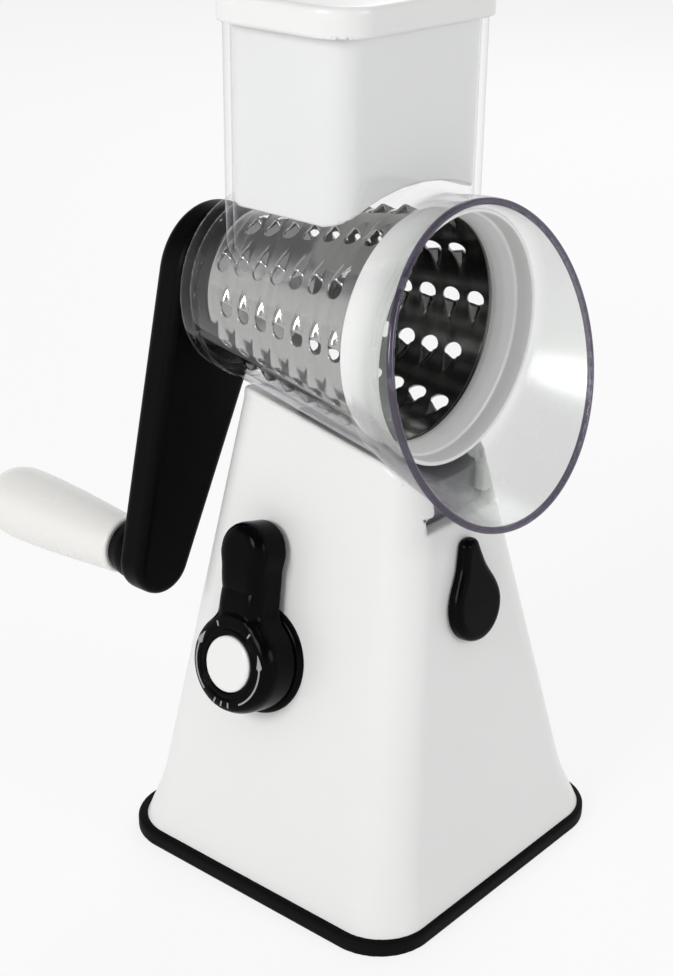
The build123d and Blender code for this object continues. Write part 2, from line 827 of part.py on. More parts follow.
# ---------------------------------------------------------------- drum
def drum_shell():
    """Conical steel sheet with staggered rows of holes."""
    points = [
        (drum_radius(drum_rear_y) - drum_sheet, drum_rear_y),
        (drum_radius(drum_rear_y), drum_rear_y),
        (drum_radius(drum_front_y), drum_front_y),
        (drum_radius(drum_front_y) - drum_sheet, drum_front_y),
    ]
    sheet = turned(points)
    pitch = (drum_rear_y - drum_front_y - 2 * hole_margin) / (holes_per_row - 0.5)
    cutters = []
    for row in range(hole_rows):
        for index in range(holes_per_row):
            y = drum_rear_y - hole_margin - (index + row % 2 / 2) * pitch
            cutter = post(hole_radius, drum_radius(y) - hole_radius, drum_radius(y) + hole_radius, 0, y)
            cutters.append(drum_axis * Rot(0, 360 * row / hole_rows, 0) * cutter)
    return sheet - cutters


def drum_front_ring():
    """White funnel ring that closes the drum's front edge."""
    edge = drum_radius(drum_front_y)
    face_y = drum_front_y - front_ring_length
    lap_y = drum_front_y + front_ring_lap
    seat_y = drum_front_y - front_ring_seat
    inside = edge - drum_sheet - front_ring_wall
    points = [
        (inside, drum_front_y),
        (inside, seat_y),
        (front_ring_lip - front_ring_wall, face_y),
        (front_ring_lip, face_y),
        (front_ring_lip, face_y + front_ring_rim),
        (edge + 0.7 * front_ring_wall, seat_y - front_ring_step),
        (edge + 0.5 * front_ring_wall, lap_y),
        (drum_radius(lap_y), lap_y),
        (edge, drum_front_y),
    ]
    return turned(points)


def drum_rear_hub():
    """White disc in the drum's rear end with a square socket for the shaft."""
    rear = drum_rear_y
    front = drum_rear_y - hub_thickness
    boss_front = front - hub_boss_length
    points = [
        (0, rear),
        (drum_radius(rear) - drum_sheet, rear),
        (drum_radius(front) - drum_sheet, front),
        (hub_boss_radius, front),
        (hub_boss_radius - 1.0, boss_front),
        (0, boss_front),
    ]
    return turned(points) - square_bar(shaft_square + 2 * slide_gap, boss_front - 1, rear + 1)


# ---------------------------------------------------------------- pusher
pusher_half_x = chute_width / 2 - chute_wall - pusher_gap
pusher_half_y = chute_depth / 2 - chute_wall - pusher_gap
pusher_corner = chute_corner - chute_wall - pusher_gap


def arch(radius_change):
    """Cylinder along Y that hollows the pusher's underside."""
    sagitta = pusher_arch_radius - math.sqrt(pusher_arch_radius**2 - pusher_half_x**2)
    centre_z = pusher_bottom + sagitta - pusher_arch_radius
    place = Location((0, 0, centre_z))
    reach = chute_depth
    radius = pusher_arch_radius + radius_change
    return tapered_bar(chute_y - reach, radius, chute_y + reach, radius, place)


def pusher_body():
    """Milky hollow block that fills the chute, closed below by an arch."""
    top = chute_top - rest_gap
    body = rounded_slab(pusher_half_x, pusher_half_y, pusher_corner, pusher_bottom, top, chute_y)
    room = rounded_slab(
        pusher_half_x - pusher_wall,
        pusher_half_y - pusher_wall,
        pusher_corner - pusher_wall,
        pusher_bottom,
        top,
        chute_y,
    )
    return body - (room - arch(pusher_wall)) - arch(0)


def pusher_cap():
    """Lid of the pusher, its lip resting on the chute's edge."""
    half_x = chute_width / 2 + lid_lip
    half_y = chute_depth / 2 + lid_lip
    top = chute_top + lid_height
    lid = rounded_slab(half_x, half_y, chute_corner + lid_lip, chute_top, top, chute_y)
    lid = fillet(lid.faces().sort_by(Axis.Z)[-1].edges(), 1.6)
    room = rounded_slab(
        pusher_half_x - pusher_wall,
        pusher_half_y - pusher_wall,
        pusher_corner - pusher_wall,
        chute_top,
        top - lid_skin,
        chute_y,
    )
    plug_inset = pusher_wall + 0.1
    plug = rounded_slab(
        pusher_half_x - plug_inset,
        pusher_half_y - plug_inset,
        pusher_corner - plug_inset,
        chute_top - plug_reach,
        top - lid_skin,
        chute_y,
    )
    plug_room = rounded_slab(
        pusher_half_x - plug_inset - lid_skin,
        pusher_half_y - plug_inset - lid_skin,
        pusher_corner - plug_inset - lid_skin,
        chute_top - plug_reach,
        top - lid_skin,
        chute_y,
    )
    return lid - room + (plug - plug_room)


# ---------------------------------------------------------------- nodes
nodes = {
    "base_shell": base_shell,
    "base_floor": base_floor,
    "floor_screws": floor_screws,
    "suction_rim": suction_rim,
    "suction_membrane": suction_membrane,
    "suction_stem": suction_stem,
    "suction_cam": suction_cam,
    "cam_shaft": cam_shaft,
    "cam_bracket": cam_bracket,
    "bracket_screws": bracket_screws,
    "lever_bezel": lever_bezel,
    "bezel_nut": bezel_nut,
    "suction_lever": suction_lever,
    "lever_screw": lever_screw,
    "lever_cap": lever_cap,
    "latch_knob": latch_knob,
    "latch_spindle": latch_spindle,
    "latch_nut": latch_nut,
    "latch_bolt": latch_bolt,
    "hopper_housing": hopper_housing,
    "shaft_bush": shaft_bush,
    "drive_shaft": drive_shaft,
    "crank_arm": crank_arm,
    "crank_screw": crank_screw,
    "crank_cover": crank_cover,
    "handle_spindle": handle_spindle,
    "handle_collar": handle_collar,
    "handle_grip": handle_grip,
    "spindle_nut": spindle_nut,
    "grip_plug": grip_plug,
    "drum_shell": drum_shell,
    "drum_front_ring": drum_front_ring,
    "drum_rear_hub": drum_rear_hub,
    "pusher_body": pusher_body,
    "pusher_cap": pusher_cap,
}

os.makedirs("parts", exist_ok=True)
for name, make in nodes.items():
    export_step(make(), f"parts/{name}.step")
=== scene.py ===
import json
import math

import bmesh
import bpy
import numpy as np
from mathutils import Matrix, Vector


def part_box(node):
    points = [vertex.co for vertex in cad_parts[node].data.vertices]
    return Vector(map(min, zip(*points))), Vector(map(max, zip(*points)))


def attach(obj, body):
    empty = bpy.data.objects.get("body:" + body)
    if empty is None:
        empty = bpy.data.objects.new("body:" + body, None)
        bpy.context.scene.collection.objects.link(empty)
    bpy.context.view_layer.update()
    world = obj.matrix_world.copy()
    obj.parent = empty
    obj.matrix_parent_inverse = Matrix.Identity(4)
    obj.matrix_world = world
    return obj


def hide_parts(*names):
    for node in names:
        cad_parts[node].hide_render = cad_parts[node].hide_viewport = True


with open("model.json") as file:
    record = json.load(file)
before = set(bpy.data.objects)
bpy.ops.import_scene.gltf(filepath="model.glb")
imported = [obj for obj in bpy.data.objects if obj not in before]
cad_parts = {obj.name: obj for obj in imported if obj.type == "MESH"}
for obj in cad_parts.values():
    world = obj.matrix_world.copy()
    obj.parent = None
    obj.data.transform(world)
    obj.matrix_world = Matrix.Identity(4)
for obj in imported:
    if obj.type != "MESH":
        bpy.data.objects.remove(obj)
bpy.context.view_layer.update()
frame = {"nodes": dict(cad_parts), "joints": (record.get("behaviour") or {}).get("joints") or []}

metres = 0.001  # every size below is in millimetres

# ---------------------------------------------------------------- studio
# A white table that runs out into a white surround, three large soft lamps, and a camera in front of
# the lever's corner and above it.
view_azimuth = math.radians(-51.75)
view_rise = math.radians(26.67)
view_roll = math.radians(1.66)
view_place = Vector((-402.69, -329.28, 359.26)) * metres
frame_width = 673
frame_height = 976
picture_centre = (395.48, 573.24)  # where the lens axis meets the picture, in pixels
lens_length = 63.89

backwards = Vector(
    (
        math.sin(view_azimuth) * math.cos(view_rise),
        -math.cos(view_azimuth) * math.cos(view_rise),
        math.sin(view_rise),
    )
)
level = Vector((0, 0, 1)).cross(backwards).normalized()
upright = backwards.cross(level)
right = level * math.cos(view_roll) + upright * math.sin(view_roll)
above = upright * math.cos(view_roll) - level * math.sin(view_roll)

camera = bpy.data.objects.new("camera", bpy.data.cameras.new("camera"))
camera.data.lens = lens_length
camera.data.shift_x = (frame_width / 2 - picture_centre[0]) / frame_height
camera.data.shift_y = (picture_centre[1] - frame_height / 2) / frame_height
view_axes = Matrix((right, above, backwards)).transposed().to_4x4()
camera.matrix_world = Matrix.Translation(view_place) @ view_axes
bpy.context.scene.collection.objects.link(camera)
bpy.context.scene.camera = camera
bpy.context.scene.view_settings.view_transform = "Standard"


def softbox(name, place, aim, width, watts):
    """Square area lamp at a place, facing a point, all in metres."""
    lamp = bpy.data.lights.new(name, "AREA")
    lamp.size = width
    lamp.energy = watts
    box = bpy.data.objects.new(name, lamp)
    box.location = place
    box.rotation_euler = (Vector(aim) - Vector(place)).to_track_quat("-Z", "Y").to_euler()
    bpy.context.scene.collection.objects.link(box)


middle = (0.0, 0.0, 0.15)
softbox("key_lamp", (-1.35, 0.05, 0.85), middle, 0.5, 9.9)
softbox("front_lamp", (0.35, -1.40, 0.70), middle, 0.5, 4.2)
softbox("back_lamp", (1.25, 0.55, 1.05), middle, 0.9, 7.0)


class Signal:
    """Output of a shader node.  Arithmetic on signals adds the Math nodes that work it out."""

    def __init__(self, paint, socket):
        self.paint = paint
        self.socket = socket

    def math(self, operation, *values):
        inputs = dict(enumerate(values))
        return self.paint.add("Math", {"operation": operation}, inputs)["Value"]

    def __add__(self, other):
        return self.math("ADD", self, other)

    def __mul__(self, other):
        return self.math("MULTIPLY", self, other)

    def __sub__(self, other):
        return self.math("SUBTRACT", self, other)

    def __rsub__(self, other):
        return self.math("SUBTRACT", other, self)

    def __pow__(self, other):
        return self.math("POWER", self, other)

    __radd__ = __add__
    __rmul__ = __mul__


class Paint:
    """Nodes of one material or world.  add() makes a node and returns its outputs by name."""

    def __init__(self, owner, kind="OutputMaterial"):
        owner.use_nodes = True
        self.tree = owner.node_tree
        self.tree.nodes.clear()
        self.owner = owner
        self.end = self.tree.nodes.new("ShaderNode" + kind)

    def add(self, kind, settings=None, inputs=None):
        """New node: settings and ramp stops are set first, then its sockets get values or links."""
        node = self.tree.nodes.new("ShaderNode" + kind)
        for key, value in (settings or {}).items():
            if key == "stops":
                ramp = node.color_ramp.elements
                while len(ramp) < len(value):
                    ramp.new(0.5)
                for stop, (position, colour) in zip(ramp, value):
                    stop.position = position
                    stop.color = (*colour, 1) if len(colour) == 3 else colour
            else:
                setattr(node, key, value)
        for key, value in (inputs or {}).items():
            self.join(value, node.inputs[key])
        return {output.name: Signal(self, output) for output in node.outputs}

    def join(self, value, socket):
        """Links a signal to a socket, or sets the socket's own value."""
        if isinstance(value, Signal):
            self.tree.links.new(value.socket, socket)
        elif socket.type == "RGBA" and len(value) == 3:
            socket.default_value = (*value, 1)
        else:
            socket.default_value = value

    def close(self, signal):
        self.join(signal, self.end.inputs["Surface"])
        return self.owner

    def blend(self, share, a, b):
        """Colour between a and b."""
        node = self.tree.nodes.new("ShaderNodeMix")
        node.data_type = "RGBA"
        for place, value in ((0, share), (6, a), (7, b)):  # the colour mix's own sockets
            self.join(value, node.inputs[place])
        return Signal(self, node.outputs[2])

    def seen(self):
        """1 for rays that come from the camera, or by a mirror or clear surface, else 0."""
        ray = self.add("LightPath")
        seen = ray["Is Camera Ray"] + ray["Is Glossy Ray"] + ray["Is Transmission Ray"]
        return seen.math("MINIMUM", seen, 1.0)


# The table's white shows at full strength in the picture and in mirrors, and keeps part of the shadow.
shadow_share = 0.2
floor_paint = Paint(bpy.data.materials.new("white_table"))
floor_matt = floor_paint.add("BsdfDiffuse", inputs={"Color": (0.88, 0.88, 0.88)})["BSDF"]
floor_glow = floor_paint.add("Emission", inputs={"Color": (1, 1, 1)})["Emission"]
floor_shader = floor_paint.add(
    "MixShader", inputs={0: (1 - shadow_share) * floor_paint.seen(), 1: floor_matt, 2: floor_glow}
)["Shader"]
floor_half = 4.0
floor_mesh = bpy.data.meshes.new("table")
floor_points = [(sx * floor_half, sy * floor_half, 0) for sx, sy in ((-1, -1), (1, -1), (1, 1), (-1, 1))]
floor_mesh.from_pydata(floor_points, [], [(0, 1, 2, 3)])
floor_mesh.materials.append(floor_paint.close(floor_shader))
floor = bpy.data.objects.new("table", floor_mesh)
bpy.context.scene.collection.objects.link(floor)

# The surround is white at the horizon and darkens overhead, so that metal has something to mirror.
world = bpy.data.worlds.new("surround")
bpy.context.scene.world = world
sky = Paint(world, "OutputWorld")
sky_height = sky.add("SeparateXYZ", inputs={0: sky.add("TexCoord")["Generated"]})["Z"]
sky_stops = [(0.0, (1.0, 1.0, 1.0)), (0.25, (0.9, 0.9, 0.9)), (0.55, (0.10, 0.10, 0.11))]
backdrop = sky.add("ValToRGB", {"stops": sky_stops}, {0: sky_height})["Color"]
world_shown = sky.add("Background", inputs={"Color": backdrop, "Strength": 1.0})["Background"]
world_light = sky.add("Background", inputs={"Color": (0.98, 0.99, 1.0), "Strength": 0.5})["Background"]
sky.close(sky.add("MixShader", inputs={0: sky.seen(), 1: world_light, 2: world_shown})["Shader"])

# ---------------------------------------------------------------- tower
# One white ABS moulding: four leaning walls with rounded corners on a flared foot, open below.  Its
# top is cut to the barrel's shape, and a T-shaped slot in front takes the housing's rail.


def corners(node):
    """Lowest and highest corner of a CAD node at rest, in millimetres."""
    return [np.array(corner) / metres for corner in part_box(node)]


def rounded(x, y, half_x, half_y, corner):
    """Distance to a rounded rectangle: what is left of the way to its corner's centre, less its radius."""
    over_x = np.abs(x) - half_x + corner
    over_y = np.abs(y) - half_y + corner
    outside = np.hypot(np.maximum(over_x, 0), np.maximum(over_y, 0))
    return outside + np.minimum(np.maximum(over_x, over_y), 0) - corner


def both(a, b, radius):
    """Space inside a and b: the larger field, raised near a tie so that the edge is rounded."""
    near = np.maximum(radius - np.abs(a - b), 0)
    return np.maximum(a, b) + near**2 / (4 * radius)


def either(a, b, radius):
    """Space inside a or b, with a fillet where they meet."""
    return -both(-a, -b, radius)


def moulding(name, field, low, high, step, seat=None):
    """Skin of the space where field(x, y, z) is negative, as a mesh in metres.

    One vertex stands in every cube of a grid that the surface crosses: it starts at the mean of the
    crossings on the cube's edges and slides down the field's slope onto the surface.  Every grid edge
    that the surface cuts gets one face between the four cubes round it.  A seat (origin, axes) carries
    a piece that was worked out in its own axes into the frame.
    """
    low = np.array(low, float)
    lines = [np.arange(a, b + step, step) for a, b in zip(low, high)]
    values = field(*np.meshgrid(*lines, indexing="ij"))
    inside = values < 0
    cube_corners = [np.array((i, j, k)) for i in (0, 1) for j in (0, 1) for k in (0, 1)]
    cubes = np.array(inside.shape) - 1
    filled = np.zeros(cubes, np.int8)
    for i, j, k in cube_corners:
        filled += inside[i : i + cubes[0], j : j + cubes[1], k : k + cubes[2]]
    crossed = (filled > 0) & (filled < 8)
    cells = np.argwhere(crossed)
    total = np.zeros((len(cells), 3))
    count = np.zeros((len(cells), 1))
    for start in cube_corners:
        for way in np.eye(3, dtype=int):
            if (start * way).any():
                continue
            a = values[tuple((cells + start).T)]
            b = values[tuple((cells + start + way).T)]
            cut = (a < 0) != (b < 0)
            share = np.where(cut, a / np.where(cut, a - b, 1), 0)
            total += np.where(cut[:, None], start + share[:, None] * way, 0)
            count += cut[:, None]
    points = low + step * (cells + total / count)

    reach = 0.02
    slides = 3
    flattest = 0.05  # a smaller squared slope counts as this, so that no vertex is thrown far

    def slope_at(points):
        """Slope of the field, from its values a little to either side."""
        sides = [field(*(points + reach * way).T) - field(*(points - reach * way).T) for way in np.eye(3)]
        return np.stack(sides, 1) / (2 * reach)

    for _ in range(slides):
        slope = slope_at(points)
        steepness = np.maximum((slope**2).sum(1, keepdims=True), flattest)
        slide = field(*points.T)[:, None] * slope / steepness
        points = points - np.clip(slide, -0.5 * step, 0.5 * step)
    normals = slope_at(points)
    normals /= np.maximum(np.linalg.norm(normals, axis=1, keepdims=True), 1e-6)

    number = np.full(crossed.shape, -1)
    number[crossed] = np.arange(len(cells))
    quads = []
    for axis in range(3):
        steps = np.roll(np.eye(3, dtype=int), -axis, 0)[1:]
        first = np.take(inside, range(cubes[axis]), axis)
        second = np.take(inside, range(1, cubes[axis] + 1), axis)
        edges = np.argwhere(first != second)
        ring = [edges - u * steps[0] - v * steps[1] for u, v in ((0, 0), (1, 0), (1, 1), (0, 1))]
        ring = np.stack([number[tuple(cube.T)] for cube in ring], 1)
        outwards = first[tuple(edges.T)]
        quads.append(np.where(outwards[:, None], ring, ring[:, ::-1]))
    quads = np.concatenate(quads)
    if seat:
        origin, axes = seat
        points = origin + points @ axes
        normals = normals @ axes
    mesh = bpy.data.meshes.new(name)
    mesh.from_pydata((points * metres).tolist(), [], quads.tolist())
    mesh.polygons.foreach_set("use_smooth", np.ones(len(quads), bool))
    mesh.normals_split_custom_set_from_vertices(normals.tolist())
    return mesh


def settle(name, mesh, material, body, slot, *stands_for):
    """Puts a mesh into the scene as a piece that rides on a body, in place of CAD nodes."""
    piece = bpy.data.objects.new(name, mesh)
    bpy.context.scene.collection.objects.link(piece)
    mesh.materials.clear()
    mesh.materials.append(material)
    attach(piece, body)
    if stands_for:
        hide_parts(*stands_for)
    return piece


def plastic(name, colour, shade, roughness, gloss=0.5, grain=0.02, grain_size=900, dust=0.06):
    """Moulded plastic: cloudy colour between two shades, roughness that varies, a fine moulded grain."""
    paint = Paint(bpy.data.materials.new(name))
    place = paint.add("TexCoord")["Object"]
    clouds = paint.add("TexNoise", inputs={"Vector": place, "Scale": 22.0, "Detail": 3.0})["Fac"]
    smears = paint.add("TexNoise", inputs={"Vector": place, "Scale": 70.0, "Detail": 4.0})["Fac"]
    fine = paint.add("TexNoise", inputs={"Vector": place, "Scale": grain_size, "Detail": 2.0})["Fac"]
    bump = paint.add("Bump", inputs={"Strength": grain, "Distance": 0.0004, "Height": fine})["Normal"]
    shader = paint.add(
        "BsdfPrincipled",
        inputs={
            "Base Color": paint.blend(clouds, colour, shade),
            "Roughness": roughness + dust * (smears - 0.5),
            "Specular IOR Level": gloss,
            "Normal": bump,
        },
    )["BSDF"]
    return paint.close(shader)


white_plastic = plastic("white_abs", (0.85, 0.85, 0.832), (0.872, 0.872, 0.856), 0.30)

tower_low, tower_high = corners("base_shell")
rim_low, rim_high = corners("suction_rim")
housing_low, housing_high = corners("hopper_housing")
drum_low, drum_high = corners("drum_shell")
axis_z = (drum_low[2] + drum_high[2]) / 2
rail_z = housing_low[2]

band_half = tower_high[0] - 0.2
rim_top = tower_low[2]
band_top = rim_top + 8.1
band_draft = 2.7  # how much narrower the band is at its top, on each side
rubber_depth = 1.6  # of the tower's edge in the rubber foot
flare_height = 12.0  # the foot's shallow flare, above its band
foot_level = 25.0  # where the walls have the foot's sizes; they have the top's at top_level
foot_half = np.array((53.3, 54.6))
foot_corner = 17.0
top_level = axis_z - 34.5
top_half = np.array((20.55, 38.9))
top_corner = 12.0
top_shift = 4.8
wall = 2.5
wall_scale = 0.97  # cosine of the side walls' lean, which turns level distances into true ones
foot_wall_extra = 1.4
foot_wall_top = foot_level + 8.0
foot_wall_run = 10.0  # height over which the wall thickens towards the foot
cradle_depth = 3 * wall
channel_depth = 4 * wall
channel_inset = 0.4 * wall  # of the channel's walls behind the tower's skin
lever_bore = 8.3
latch_bore = 4.2

barrel_rear = housing_high[1]
barrel_rear_radius = 29.35
barrel_slope = 0.1564
barrel_scale = 0.988  # cosine of that slope
flare_root_y = -23.0
flare_length = 26.2
flare_scale = 0.956  # the same for the flare
flare_drop = 5.0
flare_tilt = math.radians(15.4)
flare_rim_radius = 49.7
flare_root_radius = barrel_rear_radius + barrel_slope * (barrel_rear - flare_root_y)
seat_gap = 1.1  # between the cradle and the barrel
rail_front = -33.5
rail_rear = 20.5
rail_stem_half = 12.5
rail_flange_half = 16.3
rail_flange_height = 4.0
rail_gap = 0.3


def flare_share(y, z):
    """How far along the flare a point lies, 0 at its root and 1 at its rim.

    The cross-sections turn evenly from upright to the rim's tilt, so the share solves
    y = root - length t + tan(tilt t)(z - axis + drop t); three Newton steps find it.
    """
    share = (flare_root_y - y) / flare_length
    for _ in range(3):
        lean = np.tan(flare_tilt * np.clip(share, -0.5, 1.5))
        height = z - axis_z + flare_drop * share
        miss = flare_root_y - flare_length * share + lean * height - y
        share = share + miss / (flare_length - flare_tilt * (1 + lean**2) * height - flare_drop * lean)
    return share


def barrel(x, y, z):
    """Distance to the clear barrel's outer surface: a cone about the drum's axis, then the tilted flare."""
    straight = np.hypot(x, z - axis_z) - barrel_rear_radius - barrel_slope * (barrel_rear - y)
    share = np.clip(flare_share(y, z), 0, 1.3)
    radius = flare_root_radius + (flare_rim_radius - flare_root_radius) * share
    height = (z - axis_z + flare_drop * share) / np.cos(flare_tilt * share)
    flared = np.hypot(x, height) - radius
    return np.where(y > flare_root_y, straight * barrel_scale, flared * flare_scale)


def tower_wall(x, y, z):
    """Distance to the tower's outer walls: a rounded rectangle whose sizes run evenly up the tower.

    The foot's flare is added as a square law, and below it the band's sizes run evenly to the rim.
    """
    rise = (z - foot_level) / (top_level - foot_level)
    fade = np.clip(1 - (z - band_top) / flare_height, 0, 1)
    band_rise = (band_top - foot_level) / (top_level - foot_level)
    band = band_half - band_draft * (z - rim_top) / (band_top - rim_top)
    half = []
    for foot, top in zip(foot_half, top_half):
        flare_reach = band_half - band_draft - foot - (top - foot) * band_rise
        size = foot + (top - foot) * rise + flare_reach * fade**2
        half.append(np.where(z < band_top, band, size))
    corner = foot_corner + (top_corner - foot_corner) * rise
    return rounded(x, y - top_shift * rise, half[0], half[1], corner) * wall_scale


lever_joint, latch_joint, grip_joint = (
    next(joint for joint in frame["joints"] if joint["name"] == name)
    for name in ("lever_turn", "latch_turn", "grip_spin")
)


def joint_seat(joint):
    """Origin of a hinge, and axes with z out of the wall, x level and y up the wall."""
    outwards = -Vector(joint["axis"]).normalized()
    across = Vector((0, 0, 1)).cross(outwards).normalized()
    origin = np.array(joint["pos_m"]) / metres
    return origin, np.array((across, outwards.cross(across), outwards))


def bore(joint, radius, x, y, z):
    """Distance to a hinge's hole through the near wall: a short cylinder about the hinge's line."""
    origin, axes = joint_seat(joint)
    away = [value - start for value, start in zip((x, y, z), origin)]
    across, up, out = (sum(part * share for part, share in zip(away, axis)) for axis in axes)
    return np.maximum(np.hypot(across, up) - radius, np.abs(out) - 3 * wall)


def tower(x, y, z):
    """Walls, the cradle under the barrel and the rail's channel, less the barrel's room and the slot."""
    outside = tower_wall(x, y, z)
    seat = barrel(x, y, z) - seat_gap
    cradle = both(outside, seat - wall, 1.0)
    cradle = np.maximum(cradle, top_level - cradle_depth - z)
    foot_wall = wall + foot_wall_extra * np.clip((foot_wall_top - z) / foot_wall_run, 0, 1)
    shell = either(np.maximum(outside, -outside - foot_wall), cradle, 1.5)
    slot_half = rail_flange_half + rail_gap
    middle = rounded(x, y - 4.0, slot_half + wall, rail_rear + wall - 4.0, 1.0)
    front = rounded(x, y - rail_front, slot_half + wall, 20.0, 1.0)
    channel = np.maximum(np.minimum(middle, front), rail_z - channel_depth - z)
    channel = np.maximum(channel, outside + channel_inset)
    body = both(np.minimum(shell, channel), -seat, 1.8)
    flange_middle = rail_flange_height / 2
    flange = rounded(x, z - rail_z - flange_middle, slot_half, flange_middle + rail_gap, 0.4)
    stem = rounded(x, z - rail_z - 20.0, rail_stem_half + rail_gap, 20.0, 0.4)
    slot = np.maximum(np.minimum(flange, stem), y - rail_rear - rail_gap)
    body = both(body, -slot, 0.8)
    body = both(body, -bore(lever_joint, lever_bore, x, y, z), 0.4)
    body = both(body, -bore(latch_joint, latch_bore, x, y, z), 0.4)
    return both(body, rim_top - rubber_depth - z, 0.4)


tower_mesh = moulding("tower", tower, tower_low - 3.3, tower_high + 3.3, 1.35)
settle("tower", tower_mesh, white_plastic, "base", "white_plastic", "base_shell")

# ---------------------------------------------------------------- rubber foot
# Black rubber ring with soft edges that the tower stands in, open in the middle for the suction pad,
# with a lip inside the tower that carries the floor plate.
foot_ring_half = rim_high[0] - 0.02
foot_ring_corner = 20.0
foot_hole_half = 50.0
foot_hole_corner = 14.0
foot_lip_half = band_half - band_draft - wall - 0.3
foot_lip_corner = 15.0
foot_edge = 1.8


def foot_ring(x, y, z):
    """Flat ring rounded at its upper and lower edge, and the lip, less the hole."""
    ring = rounded(x, y, foot_ring_half, foot_ring_half, foot_ring_corner)
    ring = both(both(ring, z - rim_top, foot_edge), 0.02 - z, foot_edge / 2)
    lip = rounded(x, y, foot_lip_half, foot_lip_half, foot_lip_corner)
    lip = np.maximum(both(lip, z - rim_high[2], 0.4), 1.0 - z)
    hole = rounded(x, y, foot_hole_half, foot_hole_half, foot_hole_corner)
    return both(np.minimum(ring, lip), -hole, 0.4)


rubber = plastic("black_rubber", (0.003, 0.003, 0.003), (0.006, 0.006, 0.006), 0.62, 0.06, 0.25, 500, 0.15)
foot_mesh = moulding("rubber_foot", foot_ring, rim_low - 2.0, rim_high + 2.0, 0.95)
settle("rubber_foot", foot_mesh, rubber, "base", "black_rubber", "suction_rim")

# ---------------------------------------------------------------- clear housing
# One polished clear moulding: the conical barrel closed behind, the feed chute, the tilted flare with
# a thick rounded rim, and the T-shaped rail underneath that slides into the tower.
chute_half = np.array((37.2, 25.95))
chute_y = 7.9
chute_corner = 11.5
chute_top = housing_high[2]
chute_wall = 2.2
shoulder_top = 213.0
shoulder_height = 17.0
shoulder_inset = 7.2
shoulder_reach = 8.0  # how far the shoulder runs on into the barrel
barrel_wall = 2.0
rim_scale = 0.97
collar_length = 8.0  # of the thicker band at the barrel's rear
collar_step = 0.8
bush_bore = 9.0
bush_reach = 5.0  # how far that bore runs in from the rear face
groove_y = -28.0
groove_half = (4.8, 2.8)
groove_depth = 2.7
rail_lap = 0.3  # how far the rail's stem runs into the barrel's skin


def chute(x, y, z, inset):
    """Chute's column, narrowing through the shoulder into the barrel, its walls moved in by inset."""
    narrow = np.clip((shoulder_top - z) / shoulder_height, 0, 1)
    narrow = narrow * narrow * (3 - 2 * narrow)
    half_x = chute_half[0] - shoulder_inset * narrow - inset
    column = rounded(x, y - chute_y, half_x, chute_half[1] - inset, chute_corner - inset)
    return np.maximum(column, shoulder_top - shoulder_height - shoulder_reach - z)


def housing(x, y, z):
    """Outer skin of barrel and chute, less the room inside and the bush's bore, with rounded edges."""
    shell = barrel(x, y, z)
    share = flare_share(y, z)
    rim_plane = (share - 1) * flare_length * rim_scale
    collar = np.maximum(shell - collar_step, barrel_rear - collar_length - y)
    outer = np.minimum(shell, collar)
    outer = both(outer, y - barrel_rear, 1.5)
    outer = both(outer, rim_plane, 1.0)
    outer = either(outer, chute(x, y, z, 0.0), 4.0)
    outer = both(outer, z - chute_top, 0.8)
    inner = both(shell + barrel_wall, y - barrel_rear + barrel_wall, 1.0)
    inner = either(inner, chute(x, y, z, chute_wall), 3.0)
    body = both(outer, -inner, 0.7)
    bush = np.maximum(bush_bore - np.hypot(x, z - axis_z), barrel_rear - bush_reach - y)
    return np.where(y > barrel_rear - bush_reach, both(body, bush, 0.3), body)


def rail(x, y, z):
    """Foot and stem of the rail up to the barrel's skin, less the groove for the latch bolt."""
    deep = 20.0
    flange_middle = rail_flange_height / 2
    foot = rounded(x, z - rail_z - flange_middle, rail_flange_half, flange_middle, 0.5)
    stem = rounded(x, z - rail_z - deep, rail_stem_half, deep - 1.0, 0.5)
    middle_y = (rail_front + rail_rear) / 2
    body = np.minimum(foot, np.maximum(stem, -barrel(x, y, z) - rail_lap))
    body = both(body, np.abs(y - middle_y) - (rail_rear - rail_front) / 2, 0.6)
    groove = rounded(x, y - groove_y, *groove_half, 0.3)
    groove = np.maximum(groove, z - rail_z - groove_depth)
    return both(body, -groove, 0.3)


veil_length = 0.012
veil_roughness = 0.22


def clear(name, through, bulk, mirrored, edge, least, veil=None):
    """Polished clear plastic: light goes through, less a share that shows the bulk's own colour.

    The share starts at least, and grows towards grazing view as the fourth power of the facing, where
    the colour turns to the edge's.  A veil (colour, share) comes in over the first 12 mm of the flare.
    """
    paint = Paint(bpy.data.materials.new(name))
    place = paint.add("TexCoord")["Object"]
    haze = paint.add("TexNoise", inputs={"Vector": place, "Scale": 60.0, "Detail": 3.0})["Fac"]
    facing = paint.add("LayerWeight", inputs={"Blend": 0.5})["Facing"]
    share = least + 0.02 * haze + (0.9 - least) * facing**4.0
    roughness = 0.03 + 0.05 * haze
    if veil:
        depth = paint.add("SeparateXYZ", inputs={0: place})["Y"]
        start = flare_root_y * metres
        limits = {"Value": depth, "From Min": start, "From Max": start - veil_length}
        flared = paint.add("MapRange", {"clamp": True}, limits)["Result"]
        bulk = paint.blend(flared, bulk, veil[0])
        share = share + veil[1] * flared
        roughness = roughness + veil_roughness * flared
    shader = paint.add(
        "BsdfPrincipled",
        inputs={
            "Base Color": paint.blend(facing**2.0, bulk, edge),
            "Metallic": mirrored,
            "Roughness": roughness,
        },
    )["BSDF"]
    air = paint.add("BsdfTransparent", inputs={"Color": through})["BSDF"]
    return paint.close(paint.add("MixShader", inputs={0: share, 1: air, 2: shader})["Shader"])


